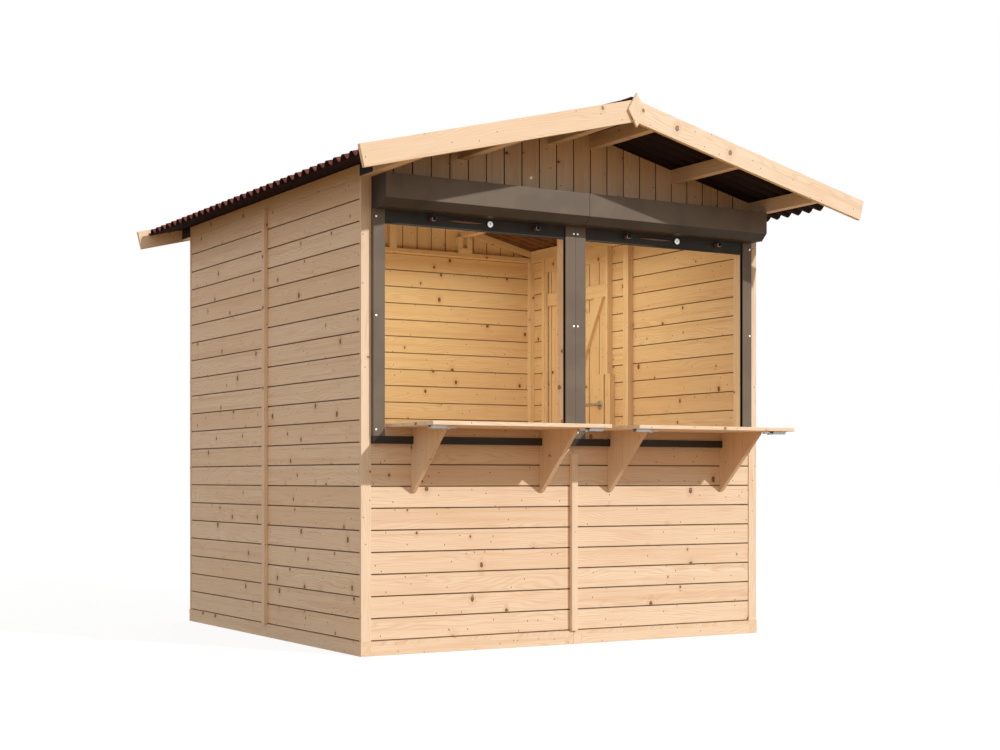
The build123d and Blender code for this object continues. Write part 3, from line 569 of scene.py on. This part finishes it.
low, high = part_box("gable_boards")
ridge_z = high[2]
joints = [GABLE_JOINT + COVER * k for k in range(-11, 12)]
joints = [x for x in joints if low[0] + NARROW_LEFT < x < high[0] - NARROW_RIGHT]
gable_edges = [low[0], *joints, high[0]]
mesh = timber_mesh()
for left, right in zip(gable_edges, gable_edges[1:]):
    for y, outward in ((low[1], (0, -1, 0)), (high[1], (0, 1, 0))):
        add_board(mesh, (left, y, low[2]), (0, 0, 1), (1, 0, 0), outward,
                  ridge_z - low[2] + SAW_WASTE, right - left, BOARD_THICK)
for side in (-1, 1):
    ends = cut_above(mesh, (0, 0, ridge_z), Vector((side * math.tan(PITCH), 0, 1)).normalized())
    print("sawn ends:", len(ends))
bmesh.ops.recalc_face_normals(mesh, faces=mesh.faces)
add_piece("gable_upright_boards", mesh, wall_spruce, HUT, ("gable_boards",))

# %% [markdown]
# ### Floor boards
#
# The floor boards run from front to back, so their ends show along the front edge, each with the
# little arrow of its tongue and groove. The section of one board is extruded over the depth of
# the hut. The board at each end of the row is ripped to fit.

# %% Deck
TONGUE, SLIT = 5 * MM, 0.5 * MM     # reach of a tongue, gap between two boards
SHOULDER = 0.32                     # height of a tongue's foot, as a share of the board
low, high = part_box("floor_deck")
shoulder = (high[2] - low[2]) * SHOULDER


def deck_board(mesh, left, right, plain_left, plain_right):
    """One floor board whose left edge is a tongue and whose right edge is a groove."""
    lower, middle, upper = low[2] + shoulder, (low[2] + high[2]) / 2, high[2] - shoulder
    right -= SLIT
    points = [(left, low[2])]
    if not plain_left:
        points += [(left, lower), (left - TONGUE, middle), (left, upper)]
    points += [(left, high[2]), (right, high[2])]
    if not plain_right:
        points += [(right, upper), (right - TONGUE, middle), (right, lower)]
    points += [(right, low[2])]
    depth = Vector((0, high[1] - low[1], 0))
    faces = extrude_section(mesh, [(x, low[1], z) for x, z in points], depth)
    mesh.normal_update()
    map_grain(mesh, faces, (0, 1, 0))


mesh = timber_mesh()
for start, end in ((low[0], -HALF_JOINT), (HALF_JOINT, high[0])):
    edges = [start] + [start + COVER * k for k in range(1, 12)] + [end]
    for left, right in zip(edges, edges[1:]):
        deck_board(mesh, left, right, left == start, right == end)
deck = add_piece("floor_deck_boards", mesh, wall_spruce, HUT, ("floor_deck",))
print("deck faces:", len(deck.data.polygons))

# %% [markdown]
# ## Timber
#
# Joists, posts, studs, battens, purlins and the rest are plain planed timber, so the CAD solids
# are right as they are. Each is copied, its edges get the small ease that a planer leaves, and
# its grain is mapped along its length. The barge boards slope, so their grain gets its own way.

# %% Plain timbers
PALE_POSTS = 0.3         # the posts are picked from pale timber: their share of the usual redness
UPRIGHT = Vector((0, 0, 1))
BRACE_WAY = Vector((0, -0.5, 0.86))     # a door brace rises towards the lock side


def down_the_slope(middle):
    """The way down the roof from the ridge at this place."""
    return (math.cos(PITCH), 0, -math.sin(PITCH) if middle.x > 0 else math.sin(PITCH))


for node in ("floor_joists", "floor_cross_joists", "corner_posts", "wall_studs", "parapet_studs",
             "joint_battens", "hatch_sill", "hatch_posts", "head_beam", "eaves_purlins",
             "middle_purlins", "ridge_purlins", "gable_rails", "gable_posts", "door_jambs",
             "keeper_block", "door_stops"):
    dress_timber(node, HUT)
for tone in bpy.data.objects["corner_posts_timber"].data.attributes["tone"].data:
    tone.value *= PALE_POSTS
dress_timber("counters", HUT, ease_mm=2.0)
dress_timber("counter_brackets", HUT, along=lambda middle: UPRIGHT, ease_mm=1.0)
dress_timber("barge_boards", HUT, along=down_the_slope, ease_mm=2.0)
dress_timber("gable_rafters", HUT, along=down_the_slope)
dress_timber("ridge_kites", HUT, along=lambda middle: UPRIGHT)
for node in ("door_ledges", "lock_block"):
    dress_timber(node, DOOR)
dress_timber("door_braces", DOOR, along=lambda middle: BRACE_WAY)

# %% [markdown]
# ## Shutters
#
# The two shutters are rolled up. What shows is folded aluminium: the boxes above with their cut
# lower edge, the guide rails, the end slats just under the boxes and a bar along the top of the
# boards below. These are copies of the CAD solids with the small radius of a folded sheet.

# %% Boxes, rails and bar
SLOT_ENDS, SLOT_FRONT, SLOT_BACK = (2 * MM, 1064 * MM), -0.8532, -0.8378     # where slots lie


def dress_plain(node, body, material, ease_mm, smooth_angle=None):
    """Copies a CAD node, rounds its edges a little and gives it a finish."""
    mesh = bmesh.new()
    mesh.from_mesh(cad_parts[node].data)
    ease_edges(mesh, ease_mm)
    piece = add_piece(node + "_finished", mesh, material, body, replaced=(node,))
    if smooth_angle:
        piece.data.shade_smooth()
        piece.data.set_sharp_from_angle(angle=math.radians(smooth_angle))
    print(piece.name, "faces:", len(piece.data.polygons))
    return piece


boxes = dress_plain("shutter_boxes", HUT, powder_coat, 1.2)
rails = dress_plain("guide_rails", HUT, powder_coat, 0.3)
dress_plain("sill_bar", HUT, dark_coat, 1.0)


def in_a_slot(middle, normal):
    """True for the faces of the slots that guide the curtain, which are painted black as shade."""
    inside = SLOT_ENDS[0] < abs(middle.x) < SLOT_ENDS[1] and SLOT_FRONT < middle.y < SLOT_BACK
    return inside and abs(normal.z) < 0.5


# Painted shade: the faces inside the deep slots of the rails are painted black
paint_faces(rails, black_painted_shade, in_a_slot)
# Painted shade: the lower chamfer and the ends of the boxes get the darker copy of the coat
paint_faces(boxes, box_shade_coat, lambda middle, normal: normal.z < -0.6 or abs(normal.x) > 0.9)

# %% [markdown]
# ### End slats and what sits on them
#
# Each end slat is an extruded bar with a lip along its lower edge, a shallow recess above the lip
# and a folded top. The CAD model has it as a plain bar, and this section takes that bar's place.

# %% End slats
slat_low, slat_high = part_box("shutter_slats")
SLAT_FACE = -0.8505      # front face of an end slat
RECESS = 1.5 * MM        # depth of the recess between the lip and the folded top
slat_back, bottom, top = slat_high[1], slat_low[2], slat_high[2]
hatch_inner_end = 39.5 * MM
mesh = bmesh.new()
for start, end in ((slat_low[0], -hatch_inner_end), (hatch_inner_end, slat_high[0])):
    section = [(slat_back, bottom), (SLAT_FACE + 2 * MM, bottom), (SLAT_FACE, bottom + 2 * MM),
               (SLAT_FACE, bottom + 7 * MM), (SLAT_FACE + RECESS, bottom + 8.5 * MM),
               (SLAT_FACE + RECESS, top - 12 * MM), (SLAT_FACE, top - 10.5 * MM),
               (SLAT_FACE, top), (slat_back, top)]
    extrude_section(mesh, [(start, y, z) for y, z in section], Vector((end - start, 0, 0)))
add_piece("end_slats", mesh, dark_coat, HUT, ("shutter_slats",))
print("end slats from", slat_low[0], "to", slat_high[0])

# %% [markdown]
# ### Stoppers, grips and locks
#
# Two stoppers, a bow shaped grip and a cylinder lock sit on each end slat, stoppers and grip brown
# as a painted reflection of the warm wood. A stopper is a hollow plug: its end shows a bright ring,
# and its bore is painted black as shade. The grip is the front half of a stretched ball. The lock
# is a bright disc with a keyhole, and the keyhole and a ring round the disc are painted black as
# shade.

# %% Stoppers, grips and locks
TOWARDS_FRONT = Matrix.Rotation(math.radians(90), 4, "X")      # turns +Z to the front
TO_THE_RIGHT = Matrix.Rotation(math.radians(90), 4, "Y")       # turns +Z to the right
HATCH_CENTRE = 533 * MM                      # from the middle of the hut
STOPPER_OFFSETS = (-241 * MM, 310 * MM)      # from the middle of a hatch, as are the next two
GRIP_OFFSET, LOCK_OFFSET = -62 * MM, 65 * MM
GRIP_HALF = (95 * MM, 8.9 * MM, 6.5 * MM)    # half length, reach forward and half height
BORE_DEPTH = 9 * MM
detail_z = slat_low[2] + 37 * MM             # height of all of them


def add_round(mesh, place, radius, depth, turn=TOWARDS_FRONT, segments=32, bevel=0.0):
    """A short round bar from its back at place, along the turned +Z; returns its end face."""
    middle = Matrix.Translation(place) @ turn @ Matrix.Translation((0, 0, depth / 2))
    made = bmesh.ops.create_cone(mesh, cap_ends=True, segments=segments, radius1=radius,
                                 radius2=radius, depth=depth, matrix=middle)["verts"]
    outward = (turn @ Vector((0, 0, 1, 0))).to_3d()
    faces = {f for v in made for f in v.link_faces if len(f.verts) > 4}
    mesh.normal_update()
    end = max(faces, key=lambda f: f.calc_center_median().dot(outward))
    if bevel:
        round_edges(mesh, list(end.edges), bevel, segments=3)
        faces = {f for v in mesh.verts for f in v.link_faces if len(f.verts) > 4}
        end = max(faces, key=lambda f: f.calc_center_median().dot(outward)
                  - 1000 * (f.calc_center_median() - Vector(place)).cross(outward).length)
    return end


stoppers, grips = bmesh.new(), bmesh.new()
lock_shade_rings, lock_discs, keyholes = bmesh.new(), bmesh.new(), bmesh.new()
stopper_axes = [side * HATCH_CENTRE + offset for side in (-1, 1) for offset in STOPPER_OFFSETS]
for axis in stopper_axes:
    end = add_round(stoppers, (axis, SLAT_FACE, detail_z), 11.9 * MM, 27.8 * MM, bevel=1.2 * MM)
    bmesh.ops.inset_individual(stoppers, faces=[end], thickness=3.0 * MM)
    bmesh.ops.translate(stoppers, verts=list(end.verts), vec=(0, BORE_DEPTH, 0))
for side in (-1, 1):
    centre = Vector((side * HATCH_CENTRE + GRIP_OFFSET, SLAT_FACE, detail_z))
    for vert in bmesh.ops.create_uvsphere(grips, u_segments=48, v_segments=16, radius=1.0,
                                          matrix=TO_THE_RIGHT)["verts"]:
        lens = max(0.0, 1 - vert.co.x ** 2) ** 0.35
        vert.co = centre + Vector((vert.co.x * GRIP_HALF[0], vert.co.y * GRIP_HALF[1] * lens,
                                   vert.co.z * GRIP_HALF[2] * lens))
    lock = Vector((side * HATCH_CENTRE + LOCK_OFFSET, SLAT_FACE, detail_z))
    add_round(lock_shade_rings, lock, 15.4 * MM, 4.0 * MM, bevel=0.6 * MM)
    add_round(lock_discs, lock, 14.4 * MM, 4.7 * MM, bevel=0.6 * MM)
    add_round(keyholes, lock + Vector((0, 0, 2 * MM)), 2.6 * MM, 4.9 * MM, segments=20)
    add_round(keyholes, lock - Vector((0, 0, 3 * MM)), 1.5 * MM, 4.9 * MM, segments=12)
bmesh.ops.bisect_plane(grips, geom=everything(grips), dist=HAIR, plane_co=(0, SLAT_FACE, 0),
                       plane_no=(0, 1, 0), clear_outer=True)
bmesh.ops.holes_fill(grips, edges=[e for e in grips.edges if e.is_boundary], sides=0)
bmesh.ops.recalc_face_normals(grips, faces=grips.faces)


def in_a_bore(middle, normal):
    """True for the faces inside the bore of a stopper."""
    off_axis = min(math.hypot(middle.x - axis, middle.z - detail_z) for axis in stopper_axes)
    return middle.y < SLAT_FACE - 15 * MM and off_axis < 9.4 * MM


# Painted reflection: stopper bodies and grips are brown for the warm wood that glossy black plastic
# reflects
stopper_piece = add_piece("shutter_stoppers", stoppers, brown_painted_reflection, HUT)
paint_faces(stopper_piece, zinc_plate, lambda middle, normal: middle.y < SLAT_FACE - 26 * MM)
# Painted shade: the faces inside each stopper's bore are painted black
paint_faces(stopper_piece, black_painted_shade, in_a_bore)
add_piece("shutter_grips", grips, brown_painted_reflection, HUT, smooth=True)
# Painted shade: the black ring round each lock disc and the black keyholes
add_piece("lock_shade_rings", lock_shade_rings, black_painted_shade, HUT)
add_piece("lock_discs", lock_discs, nickel_plate, HUT)
add_piece("lock_keyholes", keyholes, black_painted_shade, HUT)
print("slat details done")

# %% [markdown]
# ### Screws of the guide rails
#
# The rails are screwed to the timber behind with bright pan head screws, three to a rail: below
# the box, halfway and near the sill. The bolts under the counters are dressed here as well.

# %% Rail screws
SCREW_COLUMNS = (-1052.8 * MM, -11 * MM, 11 * MM, 1052.8 * MM)
SCREW_HEIGHTS = (1.910, 1.480, 0.985)
rail_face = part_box("guide_rails")[0][1]
rail_screws = bmesh.new()
for x in SCREW_COLUMNS:
    for z in SCREW_HEIGHTS:
        add_round(rail_screws, (x, rail_face + 0.1 * MM, z), 5 * MM, 2.6 * MM, segments=20,
                  bevel=1.4 * MM)
add_piece("rail_screw_heads", rail_screws, nickel_plate, HUT, smooth=True)
dress_plain("counter_bolts", HUT, zinc_plate, 0.3)

# %% [markdown]
# ## Roof
#
# The roofing is bitumen fibre sheet with round waves that run down the slope. One line of
# vertices follows the waves from the front to the back of the roof, one extrusion pulls it down
# the slope, and solidify gives it its 4 mm. The waves are those of the CAD sheet, with rounder
# crests than the few facets that the CAD model needs.

# %% Corrugated sheets
RIDGE_Z = ridge_z + 1 * MM     # where the two planes under the troughs meet
sheet_front, sheet_back = [corner[1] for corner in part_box("roof_sheet_right")]
WAVES = 34
CREST_RADIUS, CREST_HALF = 19.8 * MM, 17.1 * MM     # round of a crest and half its width
AMPLITUDE, SHEET = 13 * MM, 4 * MM                  # half the wave height, thickness
ARC_STEPS = 8                                       # edges along the round of a crest
wave_pitch = (sheet_back - sheet_front) / WAVES
crest_turn = math.asin(CREST_HALF / CREST_RADIUS)


def wave_points():
    """Places and heights along the waves: crest arcs, trough arcs and the flanks between them."""
    points = [(sheet_front, AMPLITUDE)]
    for index in range(WAVES):
        start = sheet_front + index * wave_pitch
        for middle, side in ((start + wave_pitch / 4, 1), (start + 3 * wave_pitch / 4, -1)):
            for step in range(ARC_STEPS + 1):
                turn = crest_turn * (2 * step / ARC_STEPS - 1)
                height = AMPLITUDE - CREST_RADIUS * (1 - math.cos(turn))
                points.append((middle + CREST_RADIUS * math.sin(turn), AMPLITUDE + side * height))
    points.append((sheet_back, AMPLITUDE))
    return points


def on_slope(side, down, y, height):
    """A point on the roof: down the slope from the ridge and up from the purlins."""
    return Vector((side * (down * math.cos(PITCH) + height * math.sin(PITCH)), y,
                   RIDGE_Z - down * math.sin(PITCH) + height * math.cos(PITCH)))


WALL_INSIDE, ROOM_FRONT, ROOM_BACK = 1095 * MM, -800 * MM, 1140 * MM


def over_the_room(middle, normal):
    """True for the faces of the sheets that look down into the room."""
    return normal.z < -0.1 and abs(middle.x) < WALL_INSIDE and ROOM_FRONT < middle.y < ROOM_BACK


SHEET_START, EAVES_EDGE = 15 * MM, 1305.5 * MM     # down the slope, level from the middle
sheet_end = EAVES_EDGE / math.cos(PITCH)
for side, node in ((-1, "roof_sheet_left"), (1, "roof_sheet_right")):
    mesh = bmesh.new()
    line = [mesh.verts.new(on_slope(side, SHEET_START, y, height)) for y, height in wave_points()]
    edges = [mesh.edges.new(pair) for pair in zip(line, line[1:])]
    down = on_slope(side, sheet_end, 0, 0) - on_slope(side, SHEET_START, 0, 0)
    pulled = bmesh.ops.extrude_edge_only(mesh, edges=edges)["geom"]
    pulled = [g for g in pulled if isinstance(g, bmesh.types.BMVert)]
    bmesh.ops.translate(mesh, verts=pulled, vec=down)
    bmesh.ops.recalc_face_normals(mesh, faces=mesh.faces)
    if sum(face.normal.z for face in mesh.faces) < 0:
        bmesh.ops.reverse_faces(mesh, faces=mesh.faces)
    bmesh.ops.solidify(mesh, geom=mesh.faces[:], thickness=-SHEET)
    for place, across in (((side * WALL_INSIDE, 0, 0), (1, 0, 0)),
                          ((0, ROOM_FRONT, 0), (0, 1, 0)), ((0, ROOM_BACK, 0), (0, 1, 0))):
        bmesh.ops.bisect_plane(mesh, geom=everything(mesh), dist=HAIR, plane_co=place,
                               plane_no=across)
    bmesh.ops.recalc_face_normals(mesh, faces=mesh.faces)
    sheet = add_piece(node + "_waves", mesh, bitumen_sheet, HUT, (node,))
    sheet.data.shade_smooth()
    sheet.data.set_sharp_from_angle(angle=math.radians(40))
    paint_faces(sheet, bitumen_core,
                lambda middle, normal: normal.dot(down) > 0.7 * down.length)
    # Painted light: the underside over the room gets a lighter brown for the light thrown back by
    # the walls
    paint_faces(sheet, bitumen_painted_bounce, over_the_room)
    print(sheet.name, "faces:", len(sheet.data.polygons))
dress_plain("ridge_cap", HUT, bitumen_sheet, 1.2)

# %% [markdown]
# ### Black plates on the eaves purlins
#
# Where the eaves purlins leave the walls, a thin black plate with two screw heads sits on their
# outer face and reaches 117 mm beyond each corner of the hut. It is painted shade: a dark sheet put
# where that stretch of the purlins lies in shade.

# %% Purlin plates
PLATE_THICK, SCREW_INSET = 3 * MM, 22 * MM
purlin_low, purlin_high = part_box("eaves_purlins")
plate_bottom, plate_top = purlin_low[2] + 1 * MM, purlin_low[2] + 53 * MM
plate_ends = ((-0.936, -0.8195), (1.1755, purlin_high[1]))     # front pair, back pair
plate_mesh, plate_screws = bmesh.new(), bmesh.new()
for side in (-1, 1):
    inner = side * purlin_high[0]
    outer = inner + side * PLATE_THICK
    turn = Matrix.Rotation(side * math.radians(90), 4, "Y")
    for front, back in plate_ends:
        outline = [(inner, front, plate_bottom), (outer, front, plate_bottom),
                   (outer, front, plate_top), (inner, front, plate_top)]
        extrude_section(plate_mesh, outline, Vector((0, back - front, 0)))
        for y in (front + SCREW_INSET, back - SCREW_INSET):
            add_round(plate_screws, (outer, y, (plate_bottom + plate_top) / 2), 5 * MM, 2.4 * MM,
                      turn=turn, segments=16, bevel=1.4 * MM)
round_edges(plate_mesh, plate_mesh.edges[:], 0.5 * MM)
# Painted shade: black plates and screw heads where the purlins lie in shade
add_piece("purlin_painted_shade_plates", plate_mesh, shade_plate_black, HUT)
add_piece("purlin_shade_plate_screws", plate_screws, shade_plate_black, HUT, smooth=True)

# %% [markdown]
# ### Roofing nails
#
# The sheets are nailed through the crests into the purlins, in every third wave. Each nail has a
# domed washer in the colour of the sheet, which sits on the crest and leans with the slope.

# %% Nails
CAP_PITCH = math.radians(17.1)     # slope of the ridge cap
# For each row, in mm: level from the middle, height of the crest over the purlins, then its slope
NAIL_ROWS = ((1089, 30, PITCH), (601.75, 30, PITCH), (170, 35.9, CAP_PITCH))
NAIL_SINK = 0.6                    # mm that a washer is pressed into the sheet
nails = bmesh.new()
for side in (-1, 1):
    for level, crest, lean in NAIL_ROWS:
        turn = Matrix.Rotation(side * lean, 4, "Y")
        for index in range(1, WAVES, 3):
            y = sheet_front + (index + 0.25) * wave_pitch
            place = on_slope(side, level * MM / math.cos(PITCH), y, (crest - NAIL_SINK) * MM)
            add_round(nails, place, 11 * MM, 6 * MM, turn=turn, segments=14, bevel=4 * MM)
add_piece("roofing_nail_washers", nails, bitumen_sheet, HUT, smooth=True)
print("nails placed")

# %% [markdown]
# ## Door
#
# The door in the right wall is made of upright boards of the same width as the wall boards, with
# ledges and braces on the inside. It hangs on two long strap hinges and has a lever handle on a
# round rose. The boards start at the lock side, so the ripped one stands at the hinges.

# %% Door leaf and hardware
HINGE_HEIGHTS = (0.249, 1.839)
BOLTS_ALONG = (0.729, 0.789, 0.849, 0.909, 0.949)     # along a strap
PINTLE_Y, PINTLE_DROPS = 1.006, (28 * MM, 62 * MM)    # on the post, below the strap
low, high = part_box("door_leaf")
mesh = timber_mesh()
edges = [low[1] + COVER * k for k in range(7)] + [high[1]]
for front, back in zip(edges, edges[1:]):
    add_board(mesh, (high[0], front, low[2]), (0, 0, 1), (0, 1, 0), (1, 0, 0),
              high[2] - low[2], back - front, high[0] - low[0])
add_piece("door_upright_boards", mesh, wall_spruce, DOOR, ("door_leaf",))

dress_plain("door_straps", DOOR, zinc_plate, 0.5, smooth_angle=35)
dress_plain("hinge_pintles", HUT, zinc_plate, 0.5, smooth_angle=35)
dress_plain("door_roses", DOOR, satin_aluminium, 1.5, smooth_angle=35)
dress_plain("door_handle", HANDLE, satin_aluminium, 0.8, smooth_angle=35)

strap_face = high[0] + 3 * MM
strap_bolts, pintle_bolts = bmesh.new(), bmesh.new()
for height in HINGE_HEIGHTS:
    for y in BOLTS_ALONG:
        add_round(strap_bolts, (strap_face, y, height), 7 * MM, 3.5 * MM, turn=TO_THE_RIGHT,
                  segments=20, bevel=2.4 * MM)
    for drop in PINTLE_DROPS:
        add_round(pintle_bolts, (strap_face, PINTLE_Y, height - drop), 6 * MM, 3.2 * MM,
                  turn=TO_THE_RIGHT, segments=20, bevel=2.2 * MM)
add_piece("strap_bolt_heads", strap_bolts, zinc_plate, DOOR, smooth=True)
add_piece("pintle_bolt_heads", pintle_bolts, zinc_plate, HUT, smooth=True)
print("door done")

# %% [markdown]
# ## Floor, light and camera
#
# The picture is a studio view on white. One sun lamp from the front right, 29 degrees up, gives
# the short sharp shadows under the roof and the counters, and a pale sky fills the shade. The
# camera stands low and far away with a long lens, and its shift keeps the upright edges upright.
# The floor looks white to the camera, yet throws only a dim warm light up, so the undersides
# stay dark. Inside, a wide lamp and a soft globe make up for the light that the walls pass on.

# %% Studio
def seen_directly(owner):
    """1 for what the camera sees itself or through a gloss or glass, 0 for light on the object."""
    rays = add_node(owner, "LightPath").node.outputs
    glossy = add_node(owner, "Math", MAXIMUM, rays["Is Camera Ray"], rays["Is Glossy Ray"])
    return add_node(owner, "Math", MAXIMUM, glossy, rays["Is Transmission Ray"])


def add_to_scene(name, data):
    """Makes an object of this data and links it to the scene."""
    made = bpy.data.objects.new(name, data)
    bpy.context.scene.collection.objects.link(made)
    return made


def add_lamp(name, kind, energy, colour, **settings):
    """Adds a lamp with its settings at the origin."""
    data = bpy.data.lights.new(name, kind)
    data.energy, data.color = energy, linear(colour)[:3]
    for key, value in settings.items():
        setattr(data, key, value)
    return add_to_scene(name, data)


WHITE = (1.0, 1.0, 1.0, 1.0)
floor_paint = clear_nodes(bpy.data.materials.new("studio_floor_paint"))
node = partial(add_node, floor_paint)
mottle = node("TexNoise", Vector=node("TexCoord", output="Object"), Scale=1.2, Detail=2.0)
direct = seen_directly(floor_paint)
seen_colour = node("Mix", COLOURS, mottle, input6=linear("#8C8B8A"), input7=linear("#888887"),
                   output=2)
floor_colour = node("Mix", COLOURS, direct, input6=linear("#A27C50"), input7=seen_colour, output=2)
lift = node("Emission", Color=WHITE, Strength=node("Math", MULTIPLY, direct, 0.83))
both = node("AddShader", None, node("BsdfDiffuse", Color=floor_colour), lift)
node("OutputMaterial", Surface=both)

floor_mesh = bmesh.new()
bmesh.ops.create_grid(floor_mesh, x_segments=1, y_segments=1, size=60.0)
floor_data = bpy.data.meshes.new("studio_floor")
floor_mesh.to_mesh(floor_data)
floor_mesh.free()
floor_data.materials.append(floor_paint)
add_to_scene("studio_floor", floor_data)

world = clear_nodes(bpy.data.worlds.new("studio_sky"))
bpy.context.scene.world = world
node = partial(add_node, world)
sky = node("Background", Color=linear("#F7FAF5"), Strength=0.71)
white = node("Background", Color=WHITE)
node("OutputWorld", Surface=node("MixShader", None, seen_directly(world), sky, white))

room_light = add_lamp("room_light", "AREA", 10.5, "#FCF3C6", shape="RECTANGLE", size=1.7,
                      size_y=1.3)
room_light.location = (0.0, 0.3, 2.04)
room_glow = add_lamp("room_glow", "POINT", 6.5, "#FAF5BA", shadow_soft_size=0.35)
room_glow.location = (-0.1, 0.3, 1.45)
room_light.visible_camera = room_glow.visible_camera = False
sun = add_lamp("studio_sun", "SUN", 2.25, "#FFFAF2", angle=math.radians(1.2))
sun.rotation_euler = Vector((-0.553, 1.0, -0.622)).to_track_quat("-Z", "Y").to_euler()

camera_data = bpy.data.cameras.new("studio_camera")
camera_data.sensor_width, camera_data.lens = 36.0, 57.30
camera_data.shift_x, camera_data.shift_y = 0.1, 0.1035
camera = add_to_scene("studio_camera", camera_data)
camera.location = (-4.3029, -6.9418, 0.7721)
camera.rotation_euler = (math.radians(90), 0.0, math.radians(-28.964))
bpy.context.scene.camera = camera
bpy.context.scene.view_settings.view_transform = "Standard"
print("camera at", tuple(camera.location))
